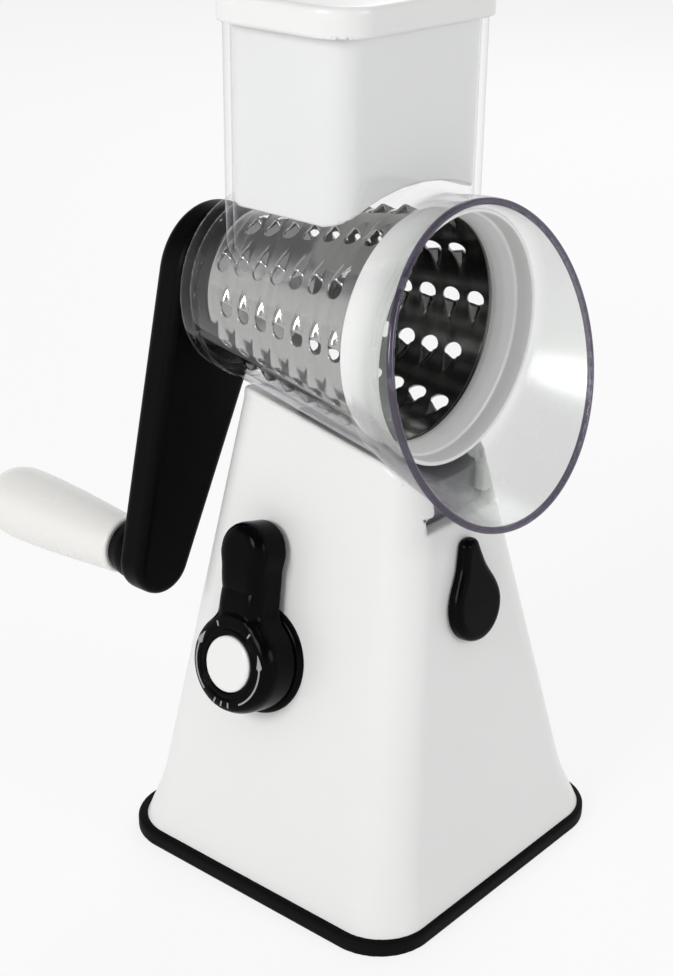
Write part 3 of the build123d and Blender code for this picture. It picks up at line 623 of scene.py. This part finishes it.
flare_veil = ((0.50, 0.54, 0.50), 0.15)
clear_plastic = clear(
    "clear_plastic", (0.994, 0.996, 0.994), (0.95, 0.95, 0.96), 1.0, (0.38, 0.35, 0.41), 0.012, flare_veil
)
thick_clear = clear(
    "thick_clear_plastic", (0.74, 0.73, 0.75), (0.27, 0.26, 0.285), 0.3, (0.10, 0.09, 0.11), 0.55
)
rim_clear = clear(
    "rim_clear_plastic", (0.54, 0.50, 0.58), (0.14, 0.125, 0.17), 0.35, (0.07, 0.06, 0.09), 0.45
)

housing_mesh = moulding("housing", housing, housing_low - 2.4, housing_high + 2.4, 1.15)
settle("housing", housing_mesh, clear_plastic, "base", "clear_plastic", "hopper_housing")
rail_low = (-rail_flange_half - 2, rail_front - 2, rail_z - 2)
rail_high = (rail_flange_half + 2, rail_rear + 2, axis_z - 25.0)
rail_mesh = moulding("housing_rail", rail, rail_low, rail_high, 0.9)
settle("housing_rail", rail_mesh, thick_clear, "base", "clear_plastic")

# ---------------------------------------------------------------- drum
# Stainless sheet rolled to a cone and punched from inside: twelve rows of teeth, every other row
# half a pitch on.  Each tooth is a ramp that rises to a mouth with a round hole behind it.
drum_rear = drum_high[1]
drum_front = drum_low[1]
drum_rear_radius = 25.0
drum_spread = 11.3  # from the rear radius to the front one
drum_slope = drum_spread / (drum_rear - drum_front)
sheet = 0.8
rows = 12
teeth_in_row = 7
hole_margin = 6.0
tooth_pitch = (drum_rear - drum_front - 2 * hole_margin) / (teeth_in_row - 0.5)
hole_radius = 3.0
lip_depth = 2.3  # how far the mouth reaches under the ramp
ramp_length = 8.6
ramp_height = 2.6
lead_angle = math.radians(9.0)  # from a hole's middle to its cell's edge, on the mouth's side
row_angle = 2 * math.pi / rows
long_steps = 12  # of a cell's border, round the drum
short_steps = 8  # the same, along the drum


def drum_radius(y):
    """Radius of the drum's outer face."""
    return drum_rear_radius + drum_slope * (drum_rear - y)


def cone_point(turn, y, lift):
    """Point on the drum, lifted off its face; turn runs from the top towards +X."""
    radius = drum_radius(y) + lift
    return np.stack([radius * np.sin(turn), y + 0 * radius, axis_z + radius * np.cos(turn)], -1)


def tooth_cells():
    """Cells of all teeth, each a ring of points spreading from the hole's edge to the cell's border.

    The hole's edge is a half circle on the mouth's side and a flatter half ellipse on the ramp's side,
    where it is the arched lip.  The ramp's height is (1 + a / length)(1 - (b / width)^2), where a runs
    along the ramp and its width shrinks to a point at the ramp's start.
    """
    rings = 9
    crowding = 1.25  # above 1, the rings stand closer near the hole
    side = np.linspace(0, 1, short_steps, endpoint=False)
    length = np.linspace(0, 1, long_steps, endpoint=False)
    # border, as shares of the cell: a from 0 (mouth side) to 1 (start), b from -1 to 1
    a_share = np.concatenate([0 * side, length, 0 * side + 1, 1 - length])
    b_share = np.concatenate([2 * side - 1, 0 * length + 1, 1 - 2 * side, 0 * length - 1])
    arc_steps = short_steps + 8  # the half circle takes the mouth side and a third of both long sides
    start = 4
    order = (np.arange(len(a_share)) + start) % len(a_share)
    angle = math.pi * (order / arc_steps - 0.5)
    back = (order - arc_steps) / (len(a_share) - arc_steps)
    on_arc = order <= arc_steps
    hole_a = np.where(on_arc, hole_radius * np.cos(angle), -lip_depth * np.sin(math.pi * back))
    hole_b = hole_radius * np.where(on_arc, np.sin(angle), np.cos(math.pi * back))

    index = np.arange(teeth_in_row)
    row, index = np.meshgrid(np.arange(rows), index, indexing="ij")
    hole_y = (drum_rear - hole_margin - (index + (row % 2) / 2) * tooth_pitch).reshape(-1, 1, 1)
    hole_turn = (row * row_angle).reshape(-1, 1, 1)
    radius = drum_radius(hole_y)
    border_a = (lead_angle - a_share * row_angle) * radius
    border_b = b_share * tooth_pitch / 2 + 0 * radius
    spread = (np.linspace(0, 1, rings) ** crowding)[:, None]
    a = hole_a + (border_a - hole_a) * spread
    b = hole_b + (border_b - hole_b) * spread
    width = hole_radius * np.clip(1 + a / ramp_length, 1e-6, 1)
    rise = np.clip(1 + a / ramp_length, 0, 1) * np.clip(1 - (b / width) ** 2, 0, 1)
    lift = np.where(a <= 1e-9, ramp_height * rise, 0) * (spread < 1)
    points = cone_point(hole_turn - a / radius, hole_y + b, lift)
    grid = np.arange(points[..., 0].size).reshape(points.shape[:3])
    nxt = np.roll(grid, -1, 2)
    quads = np.stack([grid[:, :-1], nxt[:, :-1], nxt[:, 1:], grid[:, 1:]], -1)
    return points.reshape(-1, 3), quads.reshape(-1, 4)


def edge_strips():
    """Plain strips between the cells and the drum's two edges, with points at the cells' border points."""
    points, quads, made = [], [], 0
    cell = tooth_pitch / 2
    for row in range(rows):
        turn = row * row_angle - lead_angle + row_angle * np.linspace(0, 1, long_steps + 1)
        first = drum_rear - hole_margin - (row % 2) * cell + cell
        last = first - teeth_in_row * tooth_pitch
        for edge, border in ((drum_rear, first), (drum_front, last)):
            wide = abs(edge - border) > hole_margin - cell + 1  # the next row's cells reach further
            inner_end = border + math.copysign(cell, edge - border)
            stops = np.linspace(border, inner_end, short_steps // 2 + 1) if wide else [border]
            y, lane = np.meshgrid(np.append(stops, edge), turn, indexing="ij")
            grid = made + np.arange(y.size).reshape(y.shape)
            made += y.size
            ring = [grid[:-1, :-1], grid[:-1, 1:], grid[1:, 1:], grid[1:, :-1]]
            ring = ring if edge == drum_rear else ring[::-1]
            points.append(cone_point(lane, y, 0 * y).reshape(-1, 3))
            quads.append(np.stack(ring, -1).reshape(-1, 4))
    return np.concatenate(points), np.concatenate(quads)


def sheet_mesh(name, points, quads, merge=0.02):
    """Mesh in metres from points in millimetres, with doubled points merged and faces turned outwards."""
    mesh = bpy.data.meshes.new(name)
    mesh.from_pydata((points * metres).tolist(), [], quads.tolist())
    work = bmesh.new()
    work.from_mesh(mesh)
    bmesh.ops.remove_doubles(work, verts=work.verts, dist=merge * metres)
    bmesh.ops.recalc_face_normals(work, faces=work.faces)
    work.to_mesh(mesh)
    work.free()
    mesh.polygons.foreach_set("use_smooth", np.ones(len(mesh.polygons), bool))
    return mesh


cell_points, cell_quads = tooth_cells()
strip_points, strip_quads = edge_strips()
drum_points = np.concatenate([cell_points, strip_points])
drum_quads = np.concatenate([cell_quads, strip_quads + len(cell_points)])
drum_mesh = sheet_mesh("drum", drum_points, drum_quads)


def metal(name, colour, shade, roughness, streaks):
    """Bright metal: streaks that run round the drum's axis, and roughness that varies with them."""
    paint = Paint(bpy.data.materials.new(name))
    place = paint.add("TexCoord")["Object"]
    stretched = paint.add("Mapping", inputs={"Vector": place, "Scale": streaks})["Vector"]
    lines = paint.add("TexNoise", inputs={"Vector": stretched, "Scale": 8.0, "Detail": 5.0})["Fac"]
    spots = paint.add("TexNoise", inputs={"Vector": place, "Scale": 160.0, "Detail": 3.0})["Fac"]
    bump = paint.add("Bump", inputs={"Strength": 0.06, "Distance": 0.0002, "Height": lines})["Normal"]
    shader = paint.add(
        "BsdfPrincipled",
        inputs={
            "Base Color": paint.blend(lines, colour, shade),
            "Metallic": 1.0,
            "Roughness": roughness + 0.10 * (lines - 0.5) + 0.05 * (spots - 0.5),
            "Normal": bump,
        },
    )["BSDF"]
    return paint.close(shader)


bright_steel = metal("polished_steel", (0.36, 0.355, 0.35), (0.48, 0.475, 0.465), 0.13, (4.0, 60.0, 4.0))
# The drum's inside face takes a far darker copy of the same steel: painted shade for the dim inside of the
# drum.
shaded_steel_inside = metal("steel_inside_painted_shade", (0.09, 0.088, 0.086), (0.17, 0.167, 0.163), 0.20, (4.0, 60.0, 4.0))
drum = settle("drum", drum_mesh, bright_steel, "drum", "drum_steel", "drum_shell")
drum_mesh.materials.append(shaded_steel_inside)
thickness = drum.modifiers.new("sheet", "SOLIDIFY")
thickness.thickness = sheet * metres
thickness.offset = -1.0
thickness.use_even_offset = False
thickness.material_offset = 1


# Turned pieces: a profile with softened corners, carried round an axis.
def softened(points, radius):
    """Closed profile with its corners replaced by short parabolas; corners on the axis stay sharp."""
    points = np.array(points, float)
    before = np.roll(points, 1, 0) - points
    after = np.roll(points, -1, 0) - points
    lengths = [np.linalg.norm(way, axis=1, keepdims=True) for way in (before, after)]
    cut = np.minimum(radius, 0.45 * np.minimum(*lengths))
    cut = np.where(points[:, :1] < 1e-6, 0, cut)
    share = np.linspace(0, 1, 6)[None, :, None]
    start = (points + before / lengths[0] * cut)[:, None]
    end = (points + after / lengths[1] * cut)[:, None]
    curve = (1 - share) ** 2 * start + 2 * share * (1 - share) * points[:, None] + share**2 * end
    return curve.reshape(-1, 2)


def turned(name, profile, origin, axes, radius, spokes):
    """Solid of revolution: each profile point (radius, along) is carried round the seat's z axis."""
    profile = softened(profile, radius)
    turn = np.linspace(0, 2 * math.pi, spokes, endpoint=False)[:, None]
    out, along = profile[:, 0], profile[:, 1]
    local = np.stack([out * np.cos(turn), out * np.sin(turn), along + 0 * turn], -1)
    grid = np.arange(local[..., 0].size).reshape(local.shape[:2])
    side = np.roll(grid, -1, 0)
    quads = np.stack([grid, side, np.roll(side, -1, 1), np.roll(grid, -1, 1)], -1).reshape(-1, 4)
    return sheet_mesh(name, (origin + local @ axes).reshape(-1, 3), quads, 0.004)


def fit_turned(name, profile, seat, radius, *place, spokes=112):
    """Turned piece settled in the scene; its large faces set the shading next to the rounded edges."""
    piece = settle(name, turned(name, profile, *seat, radius, spokes), *place)
    piece.modifiers.new("shading", "WEIGHTED_NORMAL").keep_sharp = True


# The flare's mouth ends in a thick round bead, which gathers the plastic's violet tint.
bead_radius = 1.15
bead_inset = 0.9
bead_profile = [
    (flare_rim_radius - bead_inset + bead_radius * math.cos(a), bead_inset + bead_radius * math.sin(a))
    for a in np.linspace(0, 2 * math.pi, 12, endpoint=False)
]
rim_centre = np.array((0, flare_root_y - flare_length, axis_z - flare_drop))
rim_lean = (math.cos(flare_tilt), math.sin(flare_tilt))
rim_axes = np.array(((1, 0, 0), (0, -rim_lean[1], -rim_lean[0]), (0, rim_lean[0], -rim_lean[1])))
bead_mesh = turned("housing_rim", bead_profile, rim_centre, rim_axes, 0.5, 128)
settle("housing_rim", bead_mesh, rim_clear, "base", "clear_plastic")

# White ring pressed on the drum's front edge: a stepped funnel with a thin outer lip.
axle = (np.array((0, 0, axis_z)), np.array(((1, 0, 0), (0, 0, -1), (0, 1, 0)), float))
ring_low, ring_high = corners("drum_front_ring")
ring_lip = 39.6
edge_radius = drum_radius(drum_front)
ring_profile = [
    (edge_radius - 0.9, drum_front + 0.3),
    (edge_radius - 1.1, drum_front - 1.6),
    (edge_radius - 0.4, drum_front - 4.4),
    (edge_radius + 1.0, drum_front - 7.6),
    (edge_radius + 1.7, drum_front - 8.0),
    (ring_lip - 1.5, ring_low[1] + 2.2),
    (ring_lip - 1.3, ring_low[1]),
    (ring_lip, ring_low[1]),
    (ring_lip, ring_low[1] + 2.6),
    (edge_radius + 1.9, drum_front - 8.0),
    (edge_radius + 1.2, drum_front - 6.0),
    (edge_radius + 0.8, ring_high[1]),
    (drum_radius(ring_high[1]), ring_high[1]),
    (edge_radius, drum_front),
]
# The ring takes a lighter copy of the white plastic: painted light that makes up for the light the clear
# flare round it keeps off.
ring_lit_plastic = plastic("ring_white_painted_light", (0.93, 0.93, 0.915), (0.945, 0.945, 0.93), 0.34)
ring_place = (ring_lit_plastic, "drum", "white_plastic", "drum_front_ring")
fit_turned("drum_ring", ring_profile, axle, 0.7, *ring_place, spokes=144)

# ---------------------------------------------------------------- pusher
# Hollow milky block that fills the chute, closed below by an arch, under a white lid whose lip rests
# on the chute's edge.
pusher_low, pusher_high = corners("pusher_body")
cap_low, cap_high = corners("pusher_cap")
pusher_half = (pusher_high - pusher_low)[:2] / 2
pusher_corner = 8.7
pusher_wall = 1.8
lid_corner = chute_corner + 1.75
lid_edge = 2.2
lid_skin = 2.4
plug_inset = 1.9  # from the pusher's outside to the plug's
plug_room_inset = 4.3
plug_gap = 4.0  # between the plug's top and the lid's
arch_radius = 80.0
arch_z = pusher_low[2] - math.sqrt(arch_radius**2 - pusher_half[0] ** 2)


def pusher(x, y, z):
    """Hollow column above an arch: a cylinder along Y cut from below, with a floor one wall thick."""
    side = rounded(x, y - chute_y, *pusher_half, pusher_corner)
    arch = arch_radius - np.hypot(x, z - arch_z)
    outer = both(both(side, arch, 0.8), z - pusher_high[2], 0.4)
    inner = both(side + pusher_wall, arch + pusher_wall, 0.8)
    return both(outer, -inner, 0.4)


def lid(x, y, z):
    """Flat cap with a rounded upper edge, hollow below, and a plug that stands in the pusher."""
    half = (cap_high - cap_low)[:2] / 2
    side = rounded(x, y - chute_y, *half, lid_corner)
    cap = both(side, z - cap_high[2], lid_edge)
    cap = both(cap, chute_top - z, 0.5)
    inside = rounded(x, y - chute_y, *(pusher_half - plug_room_inset), pusher_corner - plug_room_inset)
    plug = rounded(x, y - chute_y, *(pusher_half - plug_inset), pusher_corner - plug_inset)
    plug = np.maximum(both(plug, cap_low[2] - z, 0.4), z - cap_high[2] + plug_gap)
    room = both(inside, z - cap_high[2] + lid_skin, 0.8)
    return both(np.minimum(cap, plug), -room, 0.4)


milk_paint = Paint(bpy.data.materials.new("milky_plastic"))
milk_place = milk_paint.add("TexCoord")["Object"]
milk_clouds = milk_paint.add("TexNoise", inputs={"Vector": milk_place, "Scale": 14.0, "Detail": 3.0})["Fac"]
milk_grain = milk_paint.add("TexNoise", inputs={"Vector": milk_place, "Scale": 700.0, "Detail": 2.0})["Fac"]
milk_relief = {"Strength": 0.03, "Distance": 0.0004, "Height": milk_grain}
milk_body = milk_paint.add(
    "BsdfPrincipled",
    inputs={
        "Base Color": milk_paint.blend(milk_clouds, (0.77, 0.77, 0.77), (0.81, 0.81, 0.81)),
        "Roughness": 0.34 + 0.08 * (milk_clouds - 0.5),
        "Emission Color": (1.0, 0.99, 0.975),
        "Emission Strength": 0.10,  # stands in for the light that the milky walls scatter on
        "Normal": milk_paint.add("Bump", inputs=milk_relief)["Normal"],
    },
)["BSDF"]
milk_through = milk_paint.add("BsdfTransparent", inputs={"Color": (0.97, 0.97, 0.98)})["BSDF"]
milk_share = 0.87 + 0.08 * milk_clouds
milk_shader = milk_paint.add("MixShader", inputs={0: milk_share, 1: milk_through, 2: milk_body})["Shader"]
milky_plastic = milk_paint.close(milk_shader)
pusher_mesh = moulding("pusher", pusher, pusher_low - 2.1, pusher_high + 2.1, 1.1)
settle("pusher", pusher_mesh, milky_plastic, "pusher", "milky_plastic", "pusher_body")
lid_mesh = moulding("pusher_lid", lid, cap_low - 2.1, cap_high + 2.1, 1.0)
settle("pusher_lid", lid_mesh, white_plastic, "pusher", "white_plastic", "pusher_cap")

# ---------------------------------------------------------------- suction lever
# Glossy black keyhole lever with a round disc, a thick rounded rim and a boss at its tip, on a thin
# bezel.  A white cap closes its middle.
lever_seat = joint_seat(lever_joint)
lever_back = 2.2
lever_thickness = 14.0
disc_radius = 17.0
tip_radius = 9.2
tip_reach = 37.0
lever_half_width = 8.5
rest_turn = math.radians(6.5)  # from straight up the wall to the arm at rest
cap_radius = 9.3
cap_gap = 0.3
cap_depth = 2.6
face_fall = 0.8  # of the face outside the ring of marks
face_fall_start = 15.6
face_fall_width = 1.4
dip_depth = 0.9
dip_reach = 24.0
dip_half = 7.0
groove_radius = 11.6
groove_width = 0.35


def lever(x, y, z):
    """Disc, arm and tip joined with fillets in the wall's plane, given a thickness with rounded edges.

    The face falls a little outside the ring of marks and dips between disc and tip.  A shallow ring
    groove and the cap's recess are cut into it.
    """
    disc = np.hypot(x, y) - disc_radius
    along = y * math.cos(rest_turn) - x * math.sin(rest_turn)
    across = x * math.cos(rest_turn) + y * math.sin(rest_turn)
    tip = np.hypot(across, along - tip_reach) - tip_radius
    arm = rounded(across, along - tip_reach / 2, lever_half_width, tip_reach / 2, 1.0)
    outline = either(either(disc, arm, 3.5), tip, 2.0)
    fall = face_fall * np.clip((np.hypot(x, y) - face_fall_start) / face_fall_width, 0, 1)
    face = z - lever_back - lever_thickness + fall
    dip = dip_depth * np.clip(1 - np.abs(along - dip_reach) / dip_half, 0, 1) ** 2
    body = both(both(outline, face + dip, 5.0), lever_back - z, 0.8)
    recess_floor = lever_back + lever_thickness - cap_depth
    recess = np.maximum(np.hypot(x, y) - cap_radius - cap_gap, recess_floor - z)
    body = both(body, -recess, 0.6)
    ring = np.hypot(np.hypot(x, y) - groove_radius, face) - groove_width
    return both(body, -ring, 0.3)


black = ((0.0015, 0.0015, 0.002), (0.003, 0.003, 0.0035))
black_gloss = plastic("black_gloss_abs", *black, 0.14, 0.045, 0.01, 900, 0.05)
lever_mesh = moulding("lever", lever, (-19, -19, 1.2), (19, 48, 18), 0.62, lever_seat)
settle("lever", lever_mesh, black_gloss, "lever", "black_plastic", "suction_lever")

cap_profile = [(0, 13.8), (9.25, 13.8), (9.25, 16.2), (8.4, 16.7), (0, 17.0)]
cap_place = (white_plastic, "lever", "white_plastic", "lever_cap")
fit_turned("lever_cap_disc", cap_profile, lever_seat, 0.5, *cap_place)

# Printed on the disc's face: two arrows that point to the lever's two ends, and ticks between them.
mark_radius = 13.6
mark_lift = lever_back + lever_thickness + 0.02
arrow_steps = 25
head_start = 0.78  # along the arrow
head_share = 0.22
head_half = 1.2
shaft_half = 0.3
tick_angle = 0.022
tick_half = 0.9
tick_turns = (-1.35, -1.57, -1.79, 1.05, 2.09)


def arrow(start, end):
    """Flat arc with a pointed head, whose half width falls evenly to nothing."""
    turn = np.linspace(start, end, arrow_steps)[:, None]
    along = np.linspace(0, 1, arrow_steps)[:, None]
    head = np.clip((1 - along) / head_share, 0, 1)
    half = np.where(along > head_start, head_half * head, shaft_half)
    radius = mark_radius + half * np.linspace(-1, 1, 3)[None]
    return np.stack([radius * np.cos(turn), radius * np.sin(turn), mark_lift + 0 * radius], -1)


def tick(turn):
    """Short flat bar across the ring of marks."""
    angle = turn + np.array((-tick_angle, tick_angle))[:, None]
    radius = mark_radius + np.array((-tick_half, 0, tick_half))[None]
    return np.stack([radius * np.cos(angle), radius * np.sin(angle), mark_lift + 0 * radius * angle], -1)


mark_grids = [arrow(-1.0, 0.55), arrow(-2.2, -3.75)] + [tick(turn) for turn in tick_turns]
mark_points, mark_quads, made = [], [], 0
for grid_points in mark_grids:
    grid = made + np.arange(grid_points[..., 0].size).reshape(grid_points.shape[:2])
    made += grid.size
    mark_points.append(lever_seat[0] + grid_points.reshape(-1, 3) @ lever_seat[1])
    ring = [grid[:-1, :-1], grid[1:, :-1], grid[1:, 1:], grid[:-1, 1:]]
    mark_quads.append(np.stack(ring, -1).reshape(-1, 4))
print_white = plastic("white_print", (0.30, 0.31, 0.32), (0.38, 0.39, 0.40), 0.45, 0.2)
mark_mesh = sheet_mesh("lever_marks", np.concatenate(mark_points), np.concatenate(mark_quads), 0.001)
marks = settle("lever_marks", mark_mesh, print_white, "lever", "white_plastic")
print_depth = marks.modifiers.new("print", "SOLIDIFY")
print_depth.thickness = 0.12 * metres
print_depth.offset = 0.0

bezel_profile = [(8.0, -0.4), (18.5, -0.4), (18.5, 1.0), (17.4, 2.0), (8.0, 2.0)]
fit_turned("bezel", bezel_profile, lever_seat, 0.6, black_gloss, "base", "black_plastic", "lever_bezel")

# ---------------------------------------------------------------- latch knob
# Glossy black drop-shaped knob on the front wall; turned a quarter it lets the housing's rail go.
knob_seat = joint_seat(latch_joint)
bulb_radius = 11.2
beak_wide = 9.8
beak_narrow = 3.9
beak_length = 19.6
beak_end = 23.0
knob_face = 4.9
knob_fall = 0.03  # of the face per millimetre towards the tip


def hull(along, across, wide, narrow, length):
    """Distance to the hull of two circles, a length apart.

    It is the distance to a circle that slides from the wide one to the narrow one, and shrinks evenly
    on the way, at the place where it comes nearest to the point.
    """
    taper = (wide - narrow) / length
    touch = along - across * taper / math.sqrt(1 - taper**2)
    share = np.clip(touch / length, 0, 1)
    return np.hypot(along - share * length, across) - wide - (narrow - wide) * share


def knob(x, y, z):
    """Round bulb and a blunt tip joined by nearly straight sides, with a face that slopes to the tip."""
    bulb = np.hypot(x, y) - bulb_radius
    beak = both(hull(y, np.abs(x), beak_wide, beak_narrow, beak_length), y - beak_end, 1.6)
    outline = either(bulb, beak, 5.0)
    face = z - knob_face + knob_fall * np.clip(y, 0, 30)
    return both(both(outline, face, 3.0), 0.3 - z, 0.5)


knob_mesh = moulding("knob", knob, (-14, -14, -0.8), (14, 25, 9), 0.5, knob_seat)
settle("knob", knob_mesh, black_gloss, "latch", "black_plastic", "latch_knob")

# ---------------------------------------------------------------- crank
# Satin black arm with a broad hub, rounded all round, screwed to the shaft under a round cover; at
# its end an ivory hand grip turns on a steel pin behind a black collar.
arm_low, arm_high = corners("crank_arm")
arm_seat = (np.array((0, arm_low[1], axis_z)), np.array(((-1, 0, 0), (0, 0, 1), (0, 1, 0)), float))
grip_seat = (np.array(grip_joint["pos_m"]) / metres * (1, 0, 1), axle[1])
hub_radius = 23.5
end_radius = 12.0
arm_edge = 3.6
cover_seat_radius = 9.6
cover_seat_depth = 4.0
arm_thickness = arm_high[1] - arm_low[1]
arm_end = np.array((-grip_seat[0][0], grip_seat[0][2] - axis_z))
arm_length = np.linalg.norm(arm_end)
arm_way = arm_end / arm_length


def arm(x, y, z):
    """Hull of the hub's and the end's circles, with both faces rounded into its side."""
    along = x * arm_way[0] + y * arm_way[1]
    across = np.abs(x * arm_way[1] - y * arm_way[0])
    outline = hull(along, across, hub_radius, end_radius, arm_length)
    body = both(outline, np.abs(z - arm_thickness / 2) - arm_thickness / 2, arm_edge)
    recess = np.maximum(np.hypot(x, y) - cover_seat_radius, arm_thickness - cover_seat_depth - z)
    return both(body, -recess, 0.4)


black_satin = plastic("black_satin_abs", *black, 0.36, 0.045, 0.04, 1400, 0.08)
arm_reach = (arm_end[0] + 15, 26, arm_thickness + 1.6)
arm_mesh = moulding("arm", arm, (-26, -arm_length - 8, -1.5), arm_reach, 0.95, arm_seat)
settle("arm", arm_mesh, black_satin, "crank", "black_satin", "crank_arm")

cover_low, cover_high = corners("crank_cover")
cover_profile = [(0, cover_low[1]), (9.4, cover_low[1]), (9.4, cover_high[1] - 0.3), (0, cover_high[1])]
fit_turned("hub_cover", cover_profile, axle, 0.5, black_satin, "crank", "black_satin", "crank_cover")

collar_low, collar_high = corners("handle_collar")
collar_profile = [
    (3.5, collar_low[1]),
    (10.2, collar_low[1]),
    (10.2, collar_low[1] + 3.0),
    (9.0, collar_high[1]),
    (3.5, collar_high[1]),
]
fit_turned("collar", collar_profile, grip_seat, 0.8, black_satin, "crank", "black_satin", "handle_collar")

grip_low, grip_high = corners("handle_grip")
grip_start, grip_stop = grip_low[1], grip_high[1] + 0.4
grip_length = grip_stop - grip_start
grip_near_radius = 10.2
grip_swell = 3.0
widest = 0.8  # of the grip's length
nose_start = 0.78
nose_share = 0.22
nose_depth = 0.78  # of the squared radius, lost at the very end
pin_room = 3.7
# The side swells as a sine up to its widest place, then falls into the nose as a root.
way = np.linspace(0, 1, 22)
grip_side = grip_near_radius + grip_swell * np.sin(math.pi / 2 * np.clip(way / widest, 0, 1)) ** 1.2
nose = np.clip((way - nose_start) / nose_share, 0, 1)
grip_side = grip_side * np.sqrt(np.clip(1 - nose_depth * nose**2.4, 0, 1))
grip_along = grip_start + 0.8 + way * (grip_length - 2.2)
grip_profile = [(pin_room, grip_start), (9.6, grip_start)]
grip_profile += list(zip(grip_side, grip_along))
grip_profile += [(grip_side[-1] - 0.6, grip_stop - 0.9), (0, grip_stop)]
grip_profile += [(0, grip_stop - 4.0), (pin_room, grip_stop - 4.5)]
ivory_plastic = plastic("ivory_plastic", (0.86, 0.848, 0.818), (0.872, 0.86, 0.83), 0.27)
grip_place = (ivory_plastic, "grip", "ivory_plastic", "handle_grip", "grip_plug")
fit_turned("grip", grip_profile, grip_seat, 0.9, *grip_place)

# ---------------------------------------------------------------- pieces kept from the frame
# The suction pad, the shafts, screws and nuts, and the moulded inner pieces keep their own meshes and
# get the finish of what they are made of.
inner_plastic = plastic("grey_inner_plastic", (0.55, 0.55, 0.54), (0.60, 0.60, 0.59), 0.42)
machined_steel = metal("machined_steel", (0.55, 0.55, 0.54), (0.66, 0.65, 0.64), 0.24, (30.0, 6.0, 30.0))
inner_pieces = ("base_floor", "cam_bracket", "suction_stem", "suction_cam", "latch_spindle", "latch_bolt")
inner_pieces += ("shaft_bush", "bezel_nut", "latch_nut")
finishes = dict.fromkeys(inner_pieces, inner_plastic)
finishes.update({"suction_membrane": rubber, "drum_rear_hub": white_plastic})
for name, node in frame["nodes"].items():
    if not node.hide_render:
        finish = finishes.get(name, machined_steel)
        node.data.materials.clear()
        node.data.materials.append(finish)
